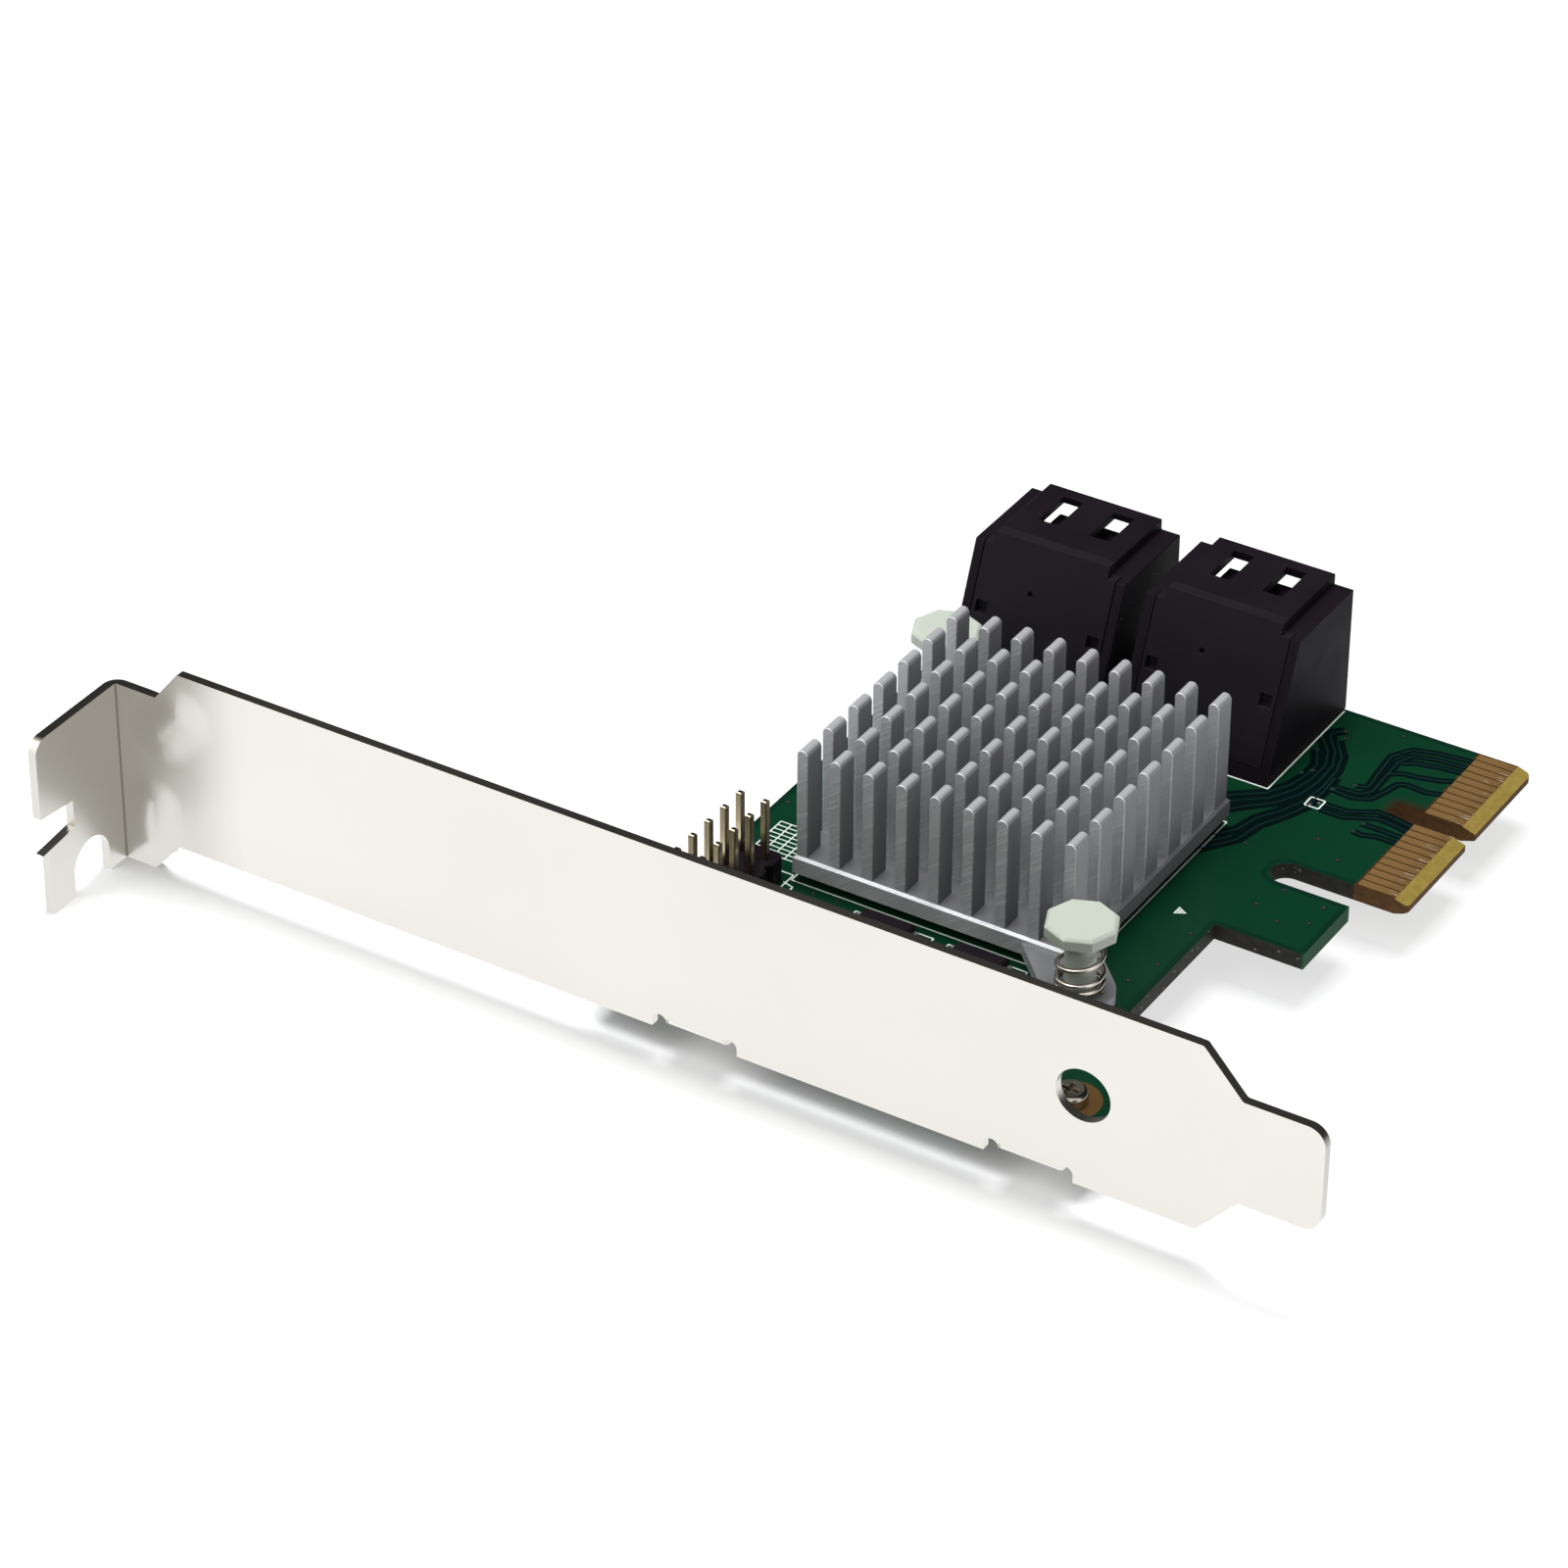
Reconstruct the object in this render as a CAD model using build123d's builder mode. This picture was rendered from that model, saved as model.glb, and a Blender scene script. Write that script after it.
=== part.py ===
from build123d import *
import os

os.makedirs("parts", exist_ok=True)

# An expansion card with four drive ports, lying on its solder side.
# Sizes are in millimetres. Drawn places run along the bracket (x), away from
# the bracket's outer face (y) and up from the bracket's long lower edge (z).
# The model's own origin is the middle of its footprint, on the floor.

# Bracket: a full-height expansion bracket folded from steel sheet
sheet = 0.86
bracket_length = 120.02
bracket_height = 18.42
bend_radius = 0.6
fold_margin = 0.01
neck_drop = 3.2
neck_top_start = 5.2
neck_top_end = 7.7
neck_low_start = 4.1
neck_low_end = 6.9
tongue_width = 10.19
tongue_length = 7.45
tongue_taper = 3.75
tongue_corner = 1.7
plate_corner = 0.4
cable_hole_diameter = 5.1
cable_hole_x = 98.15

# Screw tab at the bracket's end, bent outwards
tab_depth = 11.43
tab_corner = 1.4
slot_depth = 4.5
slot_mouth = 3.8
slot_end = 2.8
slot_z = 5.4
prong_setback = 0.85
arch_width = 5.0
arch_height = 4.8
arch_y = 4.9

# Two ribs pressed outwards beside the tab's bend: place, length, width and angle
rib_height = 0.45
rib_slope = 72.0
ribs = ((7.6, 13.0, 7.4, 4.6, 50.0), (4.85, 2.0, 7.4, 3.8, 90.0))

# Flanges bent back under the board, each between two relief notches
flange_x = (60.8, 93.25)
flange_width = 5.55
flange_reach = 10.0
flange_corner = 1.5
relief_width = 1.45
relief_depth = 1.4

# Board, with its edge connector and a stepped outline
board_thickness = 1.57
board_left = 49.6
board_front = 2.0
board_rear = 71.2
board_low = 91.5
board_corner = 0.5
lug_x = 97.5
lug_depth = 12.0
step_x = 100.1
step_near = 35.3
step_slot = 3.1
step_slot_x = 91.7
edge_x = 104.2
edge_bevel = 1.3
edge_bevel_depth = 0.45
key_y = 59.05
key_width = 1.9
key_depth = 7.8
key_to_edge = 12.15

# Edge contacts, in two groups on either side of the key
contact_pitch = 1.0
contact_width = 0.82
contact_length = 3.7
contact_thickness = 0.05
contacts_in_group = 11
key_to_contact = 1.5

# Heat sink: extruded fins cut across into pins, on a square base
sink_size = 28.0
sink_x = 71.3
sink_y = 35.35
sink_base = 1.8
sink_edge = 0.25
sink_top = 16.2
fin_thickness = 1.1
fin_count = 9
pin_depth = 2.3
pin_rows = 7
ear_width = 6.2
ear_places = ((16.3, -17.0), (-16.3, 16.0))
ear_recess = 0.6
ear_length = 9.0

# Controller chip and the pad between it and the heat sink
chip_size = 9.0
chip_height = 0.85
chip_edge = 0.12
pad_thickness = 0.15
pad_size = 8.6

# Push pins that hold the heat sink, with their springs
push_shaft_diameter = 2.8
push_clearance = 0.15
push_head_size = 6.1
push_head_height = 1.25
push_head_edge = 0.3
push_head_top = 11.7
barb_diameter = 3.8
barb_length = 2.9
barb_tip_diameter = 1.8
barb_neck = 0.5
barb_slot = 0.7
wire_diameter = 0.45
spring_diameter = 4.4
spring_turns = 3.6
spring_closed_pitch = 0.52
spring_growth = 3.8
spring_points = 40
spring_clearance = 0.02

# Screws through the board into the flanges
screw_diameter = 2.0
screw_clearance = 0.1
screw_y = 6.8
screw_head_diameter = 3.2
screw_head_height = 1.2
screw_head_edge = 0.4
screw_end = 0.6
cross_size = 1.7
cross_width = 0.4
cross_depth = 0.6

# Stacked drive connectors: two ports, one above the other, facing the rear
port_stack_width = 15.55
port_stack_height = 13.73
port_stack_x = (52.2, 69.88)
port_stack_front = 56.16
port_stack_rear = 71.45
port_stack_top_front = 61.6
top_plate_height = 1.06
top_plate_inset = 1.9
port_width = 12.6
port_height = 4.1
port_depth = 7.0
port_roof = 0.6
port_spacing = 6.3
latch_channel_width = 9.4
latch_channel_rise = 0.85
blade_plate_width = 10.3
blade_plate_offset = 0.9
blade_plate_thickness = 1.2
blade_plate_setback = 0.9
blade_plate_to_roof = 0.6
blade_key_width = 1.1
blade_key_drop = 1.1
window_width = 2.0
window_length = 4.7
window_offset = 2.65
window_from_rear = 1.3
cover_inset = 0.95
cover_thickness = 1.1
cover_gap = 0.08
cover_foot = 1.2
mark_size = 1.2
mark_depth = 0.5
mark_inset = 2.0
mark_height = 7.0
dot_diameter = 0.5
dot_height = 9.35
dot_offset = -1.25
port_contacts = 7
port_contact_pitch = 1.27
port_contact_offset = 0.45
port_contact_width = 0.5
port_contact_thickness = 0.2
port_contact_setback = 0.4
tail_length = 1.3
tail_size = 0.5
tail_hole = 0.8
tail_embed = 0.6
tail_rows = (58.4, 60.4)
peg_diameter = 1.5
peg_clearance = 0.1
peg_y = 68.0
peg_inset = 2.2

# Two-row pin header beside the bracket
header_pitch = 2.54
header_column_count = 2
header_row_count = 5
header_x = 53.97
header_y = 15.08
header_base_height = 2.54
header_chamfer = 0.55
header_pin = 0.64
header_pin_height = 8.54
header_pin_tip = 0.16
header_hole = 1.0

# Small power regulators with bent leads on two sides
regulator_x = (68.2, 77.5)
regulator_y = 17.35
regulator_width = 5.0
regulator_length = 4.9
regulator_height = 1.4
regulator_stand = 0.1
regulator_edge = 0.25
lead_span = 6.6
lead_width = 0.42
lead_thickness = 0.2
lead_foot = 0.4
lead_rise = 0.1
lead_level = 0.75
lead_pitch = 1.27
leads_per_side = 4

# Derived levels and places
board_bottom = sheet
board_top = board_bottom + board_thickness
sink_bottom = board_top + chip_height + pad_thickness
ear_top = sink_bottom + sink_base - ear_recess
outer_radius = bend_radius + sheet
fin_field = sink_size - 2 * sink_edge
fin_pitch = (fin_field - fin_thickness) / (fin_count - 1)
pin_pitch = (fin_field - pin_depth) / (pin_rows - 1)
push_hole = push_shaft_diameter / 2 + push_clearance
screw_hole = screw_diameter / 2 + screw_clearance
push_places = [(sink_x + ear_x, sink_y + ear_y) for ear_x, ear_y in ear_places]
screw_places = [(place, screw_y) for place in flange_x]
key_near = key_y - key_to_edge
x_start = -bracket_length / 2
y_start = -(port_stack_rear - tab_depth) / 2


def level(height):
    """Flat plane at a height above the bracket's lower edge."""
    return Plane(origin=(x_start, y_start, neck_drop + height))


def upright(distance):
    """Plane parallel to the bracket's face, seen from outside: x across, y up."""
    return Plane(origin=(x_start, y_start + distance, neck_drop), x_dir=(1, 0, 0), z_dir=(0, -1, 0))


def across(position):
    """Plane square to the bracket's length: x away from the bracket, y up."""
    return Plane(origin=(x_start + position, y_start, neck_drop), x_dir=(0, 1, 0), z_dir=(1, 0, 0))


def write(piece, label):
    """Name a finished piece and write it."""
    piece.part.label = label
    export_step(piece.part, f"parts/{label}.step")


def make_bracket():
    """Folded steel bracket with its tab, flanges, notches and cable hole."""
    neck_top = bracket_height - neck_drop
    tongue_low = (bracket_height - tongue_width) / 2
    tongue_high = tongue_low + tongue_width
    tongue_start = bracket_length - tongue_length
    body_end = tongue_start - tongue_taper
    fold_top = relief_depth + outer_radius
    with BuildPart() as bracket:
        # Plate: neck, body, tapered shoulders and tongue
        with BuildSketch(upright(0)) as plate:
            with BuildLine():
                Polyline(
                    (outer_radius, -neck_drop),
                    (neck_low_start, -neck_drop),
                    (neck_low_end, 0),
                    (body_end, 0),
                    (tongue_start, tongue_low),
                    (bracket_length, tongue_low),
                    (bracket_length, tongue_high),
                    (tongue_start, tongue_high),
                    (body_end, bracket_height),
                    (neck_top_end, bracket_height),
                    (neck_top_start, neck_top),
                    (outer_radius, neck_top),
                    close=True,
                )
            make_face()
            fillet(plate.vertices().group_by(Axis.X)[-1], tongue_corner)
            bend_range = (outer_radius + plate_corner, tongue_start + plate_corner)
            bends = plate.vertices().filter_by_position(Axis.X, *bend_range)
            fillet(bends, plate_corner)
        extrude(amount=-sheet)
        # Tab and the bend that joins it to the neck
        with BuildSketch(level(-neck_drop)) as fold:
            with BuildLine():
                Polyline(
                    (0, -tab_depth),
                    (sheet, -tab_depth),
                    (sheet, 0),
                    (outer_radius, 0),
                    (outer_radius, sheet),
                    (0, sheet),
                    close=True,
                )
            make_face()
            fillet(fold.vertices().sort_by_distance((0, sheet, 0))[0], outer_radius - fold_margin)
            fillet(fold.vertices().sort_by_distance((sheet, 0, 0))[0], bend_radius - fold_margin)
        extrude(amount=bracket_height)
        # Flanges bent back from the lower edge, between relief notches
        for place in flange_x:
            near = place - flange_width / 2
            notch_x = (near - relief_width / 2, near + flange_width + relief_width / 2)
            notch_middle = relief_depth - relief_width / 2
            with BuildSketch(upright(0)):
                with Locations((place, relief_depth / 2)):
                    Rectangle(flange_width, relief_depth)
                for notch in notch_x:
                    with Locations((notch, notch_middle / 2)):
                        Rectangle(relief_width, notch_middle)
                    with Locations((notch, notch_middle)):
                        Circle(relief_width / 2)
            extrude(amount=-sheet, mode=Mode.SUBTRACT)
            with BuildSketch(across(near)) as fold:
                with BuildLine():
                    Polyline(
                        (0, fold_top),
                        (0, 0),
                        (flange_reach, 0),
                        (flange_reach, sheet),
                        (sheet, sheet),
                        (sheet, fold_top),
                        close=True,
                    )
                make_face()
                fillet(fold.vertices().sort_by_distance((0, 0, 0))[0], outer_radius)
                fillet(fold.vertices().sort_by_distance((sheet, sheet, 0))[0], bend_radius)
            extrude(amount=flange_width)
        fillet(bracket.edges().filter_by(Axis.Z).group_by(Axis.Y)[-1], flange_corner)
        # Tab outline: screw slot open to the outer edge, prong and arched foot
        slot_low = slot_z - slot_mouth / 2
        arch_straight = arch_height - arch_width / 2
        with BuildSketch(across(0)):
            with BuildLine():
                Polyline(
                    (-tab_depth, slot_z + slot_mouth / 2),
                    (-tab_depth + slot_depth, slot_z + slot_end / 2),
                    (-tab_depth + slot_depth, slot_z - slot_end / 2),
                    (-tab_depth, slot_low),
                    close=True,
                )
            make_face()
            with Locations((-tab_depth + prong_setback / 2, (slot_low - neck_drop) / 2)):
                Rectangle(prong_setback, slot_low + neck_drop)
            with Locations((-arch_y, arch_straight / 2 - neck_drop)):
                Rectangle(arch_width, arch_straight)
            with Locations((-arch_y, arch_straight - neck_drop)):
                Circle(arch_width / 2)
        extrude(amount=sheet, mode=Mode.SUBTRACT)
        fillet(bracket.edges().filter_by(Axis.X).group_by(Axis.Y)[0].sort_by(Axis.Z)[-1], tab_corner)
        # Pressed ribs: raised on the outer face, sunk on the inner one
        for rib_x, rib_z, length, width, angle in ribs:
            for distance, mode in ((sheet, Mode.SUBTRACT), (0, Mode.ADD)):
                with BuildSketch(upright(distance)):
                    with Locations((rib_x, rib_z)):
                        SlotOverall(length, width, rotation=angle)
                extrude(amount=rib_height, taper=rib_slope, mode=mode)
        # Cable hole, and the screw holes of the flanges
        with BuildSketch(upright(0)):
            with Locations((cable_hole_x, bracket_height / 2)):
                Circle(cable_hole_diameter / 2)
        extrude(amount=-sheet, mode=Mode.SUBTRACT)
        with BuildSketch(level(0)):
            with Locations(*screw_places):
                Circle(screw_hole)
        extrude(amount=sheet, mode=Mode.SUBTRACT)
    write(bracket, "io_bracket")


def tail_places(start):
    """Places of one connector's solder tails."""
    middle = start + port_stack_width / 2
    first = middle - (port_contacts - 1) * port_contact_pitch / 2
    columns = [first + count * port_contact_pitch for count in range(port_contacts)]
    return [(column, row) for row in tail_rows for column in columns]


def peg_places(start):
    """Places of the two locating pegs under one connector."""
    return [(start + peg_inset, peg_y), (start + port_stack_width - peg_inset, peg_y)]


def make_board():
    """Circuit board with its stepped outline, key, bevel and holes."""
    slot_near = key_near - step_slot
    slot_radius = step_slot / 2
    key_end = edge_x - key_depth
    with BuildPart() as board:
        with BuildSketch(level(board_bottom)):
            with BuildLine():
                Polyline(
                    (board_left, board_front),
                    (lug_x, board_front),
                    (lug_x, board_front + lug_depth),
                    (board_low, board_front + lug_depth),
                    (board_low, step_near),
                    (step_x, step_near),
                    (step_x, key_near),
                    (edge_x, key_near),
                    (edge_x, board_rear),
                    (board_left, board_rear),
                    close=True,
                )
            outline = make_face()
            outer = outline.vertices().group_by(Axis.X)
            fillet(outer[-1] + outer[0], board_corner)
            # Slot between the step and the edge connector, and the connector's key
            with Locations(((step_slot_x + slot_radius + step_x) / 2, slot_near + slot_radius)):
                Rectangle(step_x - step_slot_x - slot_radius, step_slot, mode=Mode.SUBTRACT)
            with Locations((step_slot_x + slot_radius, slot_near + slot_radius)):
                Circle(slot_radius, mode=Mode.SUBTRACT)
            with Locations(((key_end + key_width / 2 + edge_x) / 2, key_y)):
                Rectangle(key_depth - key_width / 2, key_width, mode=Mode.SUBTRACT)
            with Locations((key_end + key_width / 2, key_y)):
                Circle(key_width / 2, mode=Mode.SUBTRACT)
            with Locations(*push_places):
                Circle(push_hole, mode=Mode.SUBTRACT)
            with Locations(*screw_places):
                Circle(screw_hole, mode=Mode.SUBTRACT)
            with Locations((header_x, header_y)):
                with GridLocations(header_pitch, header_pitch, header_column_count, header_row_count):
                    Circle(header_hole / 2, mode=Mode.SUBTRACT)
            for start in port_stack_x:
                with Locations(*tail_places(start)):
                    Circle(tail_hole / 2, mode=Mode.SUBTRACT)
                with Locations(*peg_places(start)):
                    Circle(peg_diameter / 2 + peg_clearance, mode=Mode.SUBTRACT)
        extrude(amount=board_thickness)
        # Bevel along the edge connector, on both faces
        for surface, side in ((board_top, -1), (board_bottom, 1)):
            with BuildSketch(upright(key_near)):
                with BuildLine():
                    Polyline(
                        (edge_x - edge_bevel, surface),
                        (edge_x, surface),
                        (edge_x, surface + side * edge_bevel_depth),
                        close=True,
                    )
                make_face()
            extrude(amount=-(board_rear - key_near), mode=Mode.SUBTRACT)
    write(board, "circuit_board")


def make_edge_contacts():
    """Gold contacts on both faces of the edge connector."""
    middle_x = edge_x - edge_bevel - contact_length / 2
    reach = key_to_contact + (contacts_in_group - 1) * contact_pitch / 2
    for label, height, lift in (
        ("edge_contacts_component_side", board_top, contact_thickness),
        ("edge_contacts_solder_side", board_bottom, -contact_thickness),
    ):
        with BuildPart() as contacts:
            with BuildSketch(level(height)):
                with Locations((middle_x, key_y - reach), (middle_x, key_y + reach)):
                    with GridLocations(contact_length, contact_pitch, 1, contacts_in_group):
                        Rectangle(contact_length, contact_width)
            extrude(amount=lift)
        write(contacts, label)


def make_controller():
    """Controller chip and the thermal pad on top of it."""
    with BuildPart() as chip:
        with BuildSketch(level(board_top)):
            with Locations((sink_x, sink_y)):
                Rectangle(chip_size, chip_size)
        extrude(amount=chip_height)
        chamfer(chip.faces().sort_by(Axis.Z)[-1].edges(), chip_edge)
    write(chip, "controller_chip")
    with BuildPart() as pad:
        with BuildSketch(level(board_top + chip_height)):
            with Locations((sink_x, sink_y)):
                Rectangle(pad_size, pad_size)
        extrude(amount=pad_thickness)
    write(pad, "thermal_pad")


def make_heat_sink():
    """Finned block cut across into pins, with an ear at two opposite corners."""
    base_top = sink_bottom + sink_base
    radius = fin_thickness / 2
    with BuildPart() as sink:
        with BuildSketch(level(sink_bottom)):
            with Locations((sink_x, sink_y)):
                Rectangle(sink_size, sink_size)
        extrude(amount=sink_base)
        chamfer(sink.faces().sort_by(Axis.Z)[-1].edges(), sink_edge)
        # Ears that run out from two corners to the push pins
        with BuildSketch(level(sink_bottom)):
            for turn, place in zip((1, -1), push_places):
                inward = turn * ear_length / 2 * 2**-0.5
                with Locations((place[0] - inward, place[1] + inward)):
                    SlotCenterToCenter(ear_length, ear_width, rotation=-45)
        extrude(amount=sink_base - ear_recess)
        # Fins with rounded tops
        with BuildSketch(upright(sink_y - fin_field / 2)):
            with Locations((sink_x, (base_top + sink_top - radius) / 2)):
                with GridLocations(fin_pitch, 1, fin_count, 1):
                    Rectangle(fin_thickness, sink_top - radius - base_top)
            with Locations((sink_x, sink_top - radius)):
                with GridLocations(fin_pitch, 1, fin_count, 1):
                    Circle(radius)
        extrude(amount=-fin_field)
        # Saw cuts across the fins
        with BuildSketch(level(base_top)):
            with Locations((sink_x, sink_y)):
                with GridLocations(1, pin_pitch, 1, pin_rows - 1):
                    Rectangle(sink_size, pin_pitch - pin_depth)
        extrude(amount=sink_top - base_top, mode=Mode.SUBTRACT)
        with BuildSketch(level(sink_bottom)):
            with Locations(*push_places):
                Circle(push_hole)
        extrude(amount=sink_base, mode=Mode.SUBTRACT)
    write(sink, "heatsink")


def make_push_pins():
    """Moulded push pins with an eight-sided head and a split barb."""
    head_bottom = push_head_top - push_head_height
    barb_start = board_bottom - barb_neck
    for name, place in zip(("front", "rear"), push_places):
        with BuildPart() as pin:
            with BuildSketch(level(head_bottom)):
                with Locations(place):
                    RegularPolygon(push_head_size / 2, 8, major_radius=False)
            extrude(amount=push_head_height)
            chamfer(pin.faces().sort_by(Axis.Z)[-1].edges(), push_head_edge)
            with BuildSketch(level(barb_start)):
                with Locations(place):
                    Circle(push_shaft_diameter / 2)
            extrude(amount=head_bottom - barb_start)
            # Barb below the board, narrowing to its tip and split in two
            with BuildSketch(level(board_bottom)):
                with Locations(place):
                    Circle(barb_diameter / 2)
            extrude(amount=-barb_neck)
            with BuildSketch(level(barb_start)):
                with Locations(place):
                    Circle(barb_diameter / 2)
            with BuildSketch(level(board_bottom - barb_length)):
                with Locations(place):
                    Circle(barb_tip_diameter / 2)
            loft()
            with BuildSketch(level(board_bottom - barb_length)):
                with Locations(place):
                    Rectangle(barb_slot, barb_diameter)
            extrude(amount=barb_length, mode=Mode.SUBTRACT)
        write(pin, f"push_pin_{name}")


def make_springs():
    """Wire coil springs, closed at the bottom, from the ears to the pins' heads."""
    mean_radius = (spring_diameter - wire_diameter) / 2
    low = ear_top + wire_diameter / 2 + spring_clearance
    rise = push_head_top - push_head_height - wire_diameter / 2 - spring_clearance - low
    closed = spring_closed_pitch * spring_turns
    for name, place in zip(("front", "rear"), push_places):
        points = []
        for count in range(spring_points + 1):
            share = count / spring_points
            spot = Vector(mean_radius, 0, 0).rotate(Axis.Z, 360 * spring_turns * share)
            height = closed * share + (rise - closed) * share**spring_growth
            points.append(level(low).from_local_coords(spot + Vector(*place, height)))
        with BuildPart() as spring:
            with BuildLine() as wire:
                Spline(*points)
            with BuildSketch(Plane(origin=wire.line @ 0, z_dir=wire.line % 0)):
                Circle(wire_diameter / 2)
            sweep(path=wire.line, is_frenet=True)
        write(spring, f"push_pin_spring_{name}")


def make_screws():
    """Pan head screws with a cross recess, through the board into the flanges."""
    head_top = board_top + screw_head_height
    with BuildPart() as screws:
        with BuildSketch(level(board_top)):
            with Locations(*screw_places):
                Circle(screw_head_diameter / 2)
        extrude(amount=screw_head_height)
        fillet(screws.faces().group_by(Axis.Z)[-1].edges(), screw_head_edge)
        with BuildSketch(level(board_bottom - sheet - screw_end)):
            with Locations(*screw_places):
                Circle(screw_diameter / 2)
        extrude(amount=board_top - board_bottom + sheet + screw_end)
        with BuildSketch(level(head_top)):
            with Locations(*screw_places):
                Rectangle(cross_size, cross_width)
                Rectangle(cross_width, cross_size)
        extrude(amount=-cross_depth, mode=Mode.SUBTRACT)
    write(screws, "bracket_screws")


def slope_point(height, inset=0.0):
    """Point on the connector's sloping back at a height above the board, moved inwards."""
    run = port_stack_top_front - port_stack_front
    return port_stack_front + run * height / port_stack_height + inset, board_top + height


def cover_plate(foot):
    """Outline of the sloping back cover's plate, from its foot to the side walls' top."""
    strip = port_stack_height - top_plate_height
    return (
        slope_point(foot),
        slope_point(foot, cover_thickness),
        slope_point(strip, cover_thickness),
        slope_point(strip),
    )


def port_levels():
    """Heights of the middles of the upper and the lower port."""
    upper = board_top + port_stack_height - top_plate_height - port_roof - port_height / 2
    return upper, upper - port_spacing


def blade_level(port_level):
    """Height of the middle of the contact plate inside a port."""
    return port_level + port_height / 2 - blade_plate_to_roof - blade_plate_thickness / 2


def make_port_housing(start, name):
    """Housing of a stacked connector, with its two ports and latch windows."""
    stack_top = board_top + port_stack_height
    strip = port_stack_height - top_plate_height
    middle = start + port_stack_width / 2
    port_back = port_stack_rear - port_depth
    window_y = port_stack_rear - window_from_rear - window_length / 2
    with BuildPart() as housing:
        with BuildSketch(across(start)):
            with BuildLine():
                Polyline(
                    slope_point(0),
                    (port_stack_rear, board_top),
                    (port_stack_rear, board_top + strip),
                    slope_point(strip),
                    close=True,
                )
            make_face()
        extrude(amount=port_stack_width)
        # Raised plate on top, between the lower strips
        with BuildSketch(across(start + top_plate_inset)):
            with BuildLine():
                Polyline(
                    slope_point(strip, cover_thickness),
                    (port_stack_rear, board_top + strip),
                    (port_stack_rear, stack_top),
                    slope_point(port_stack_height, cover_thickness),
                    close=True,
                )
            make_face()
        extrude(amount=port_stack_width - 2 * top_plate_inset)
        # Seat for the sloping back cover
        with BuildSketch(across(start + cover_inset)):
            with BuildLine():
                Polyline(*cover_plate(cover_foot), close=True)
            make_face()
        extrude(amount=port_stack_width - 2 * cover_inset, mode=Mode.SUBTRACT)
        for port_level in port_levels():
            # Cavity with a channel for the plug's latch, open to the rear
            roof = port_level + port_height / 2
            with BuildSketch(upright(port_stack_rear)):
                with Locations((middle, port_level)):
                    Rectangle(port_width, port_height)
                with Locations((middle, roof)):
                    Rectangle(latch_channel_width, 2 * latch_channel_rise)
            extrude(amount=port_depth, mode=Mode.SUBTRACT)
            # Plate that carries the contacts, with its key at one end
            plate_z = blade_level(port_level)
            plate_x = middle + blade_plate_offset
            key_x = plate_x + (blade_plate_width - blade_key_width) / 2
            key_z = plate_z - (blade_plate_thickness + blade_key_drop) / 2
            with BuildSketch(upright(port_back)):
                with Locations((plate_x, plate_z)):
                    Rectangle(blade_plate_width, blade_plate_thickness)
                with Locations((key_x, key_z)):
                    Rectangle(blade_key_width, blade_key_drop)
            extrude(amount=-(port_depth - blade_plate_setback))
        # Latch windows through the raised plate
        with BuildSketch(level(stack_top)):
            with Locations((middle - window_offset, window_y), (middle + window_offset, window_y)):
                Rectangle(window_width, window_length)
        extrude(amount=-top_plate_height, mode=Mode.SUBTRACT)
        # Pegs into the board, and the holes that the tails come out of
        with BuildSketch(level(board_top)):
            with Locations(*peg_places(start)):
                Circle(peg_diameter / 2)
        extrude(amount=-board_thickness)
        with BuildSketch(level(board_top)):
            with Locations(*tail_places(start)):
                Rectangle(tail_size, tail_size)
        extrude(amount=tail_embed, mode=Mode.SUBTRACT)
    write(housing, f"sata_housing_{name}")


def make_port_cover(start, name):
    """Sloping back cover that closes a stacked connector."""
    strip = port_stack_height - top_plate_height
    middle = start + port_stack_width / 2
    with BuildPart() as cover:
        with BuildSketch(across(start + cover_inset + cover_gap)):
            with BuildLine():
                Polyline(*cover_plate(cover_foot + cover_gap), close=True)
            make_face()
        extrude(amount=port_stack_width - 2 * (cover_inset + cover_gap))
        with BuildSketch(across(start + top_plate_inset)):
            with BuildLine():
                Polyline(
                    slope_point(strip),
                    slope_point(strip, cover_thickness),
                    slope_point(port_stack_height, cover_thickness),
                    slope_point(port_stack_height),
                    close=True,
                )
            make_face()
        extrude(amount=port_stack_width - 2 * top_plate_inset)
        # Two square ejector marks and a small round gate mark
        with BuildSketch(upright(slope_point(mark_height)[0] + mark_depth)):
            with Locations((middle, board_top + mark_height)):
                with GridLocations(port_stack_width - 2 * mark_inset, 1, 2, 1):
                    Rectangle(mark_size, mark_size)
        extrude(amount=2 * mark_depth, mode=Mode.SUBTRACT)
        with BuildSketch(upright(slope_point(dot_height)[0] + mark_depth)):
            with Locations((middle + dot_offset, board_top + dot_height)):
                Circle(dot_diameter / 2)
        extrude(amount=2 * mark_depth, mode=Mode.SUBTRACT)
    write(cover, f"sata_back_cover_{name}")


def make_port_contacts(start, name):
    """Contact blades under the plates in the ports, and the tails through the board."""
    middle = start + port_stack_width / 2
    port_back = port_stack_rear - port_depth
    blade_length = port_depth - blade_plate_setback - port_contact_setback
    with BuildPart() as contacts:
        for port_level in port_levels():
            blade_z = blade_level(port_level) - (blade_plate_thickness + port_contact_thickness) / 2
            with BuildSketch(upright(port_back)):
                with Locations((middle + port_contact_offset, blade_z)):
                    with GridLocations(port_contact_pitch, 1, port_contacts, 1):
                        Rectangle(port_contact_width, port_contact_thickness)
            extrude(amount=-blade_length)
        with BuildSketch(level(board_bottom - tail_length)):
            with Locations(*tail_places(start)):
                Rectangle(tail_size, tail_size)
        extrude(amount=tail_length + board_thickness + tail_embed)
    write(contacts, f"sata_contacts_{name}")


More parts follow.
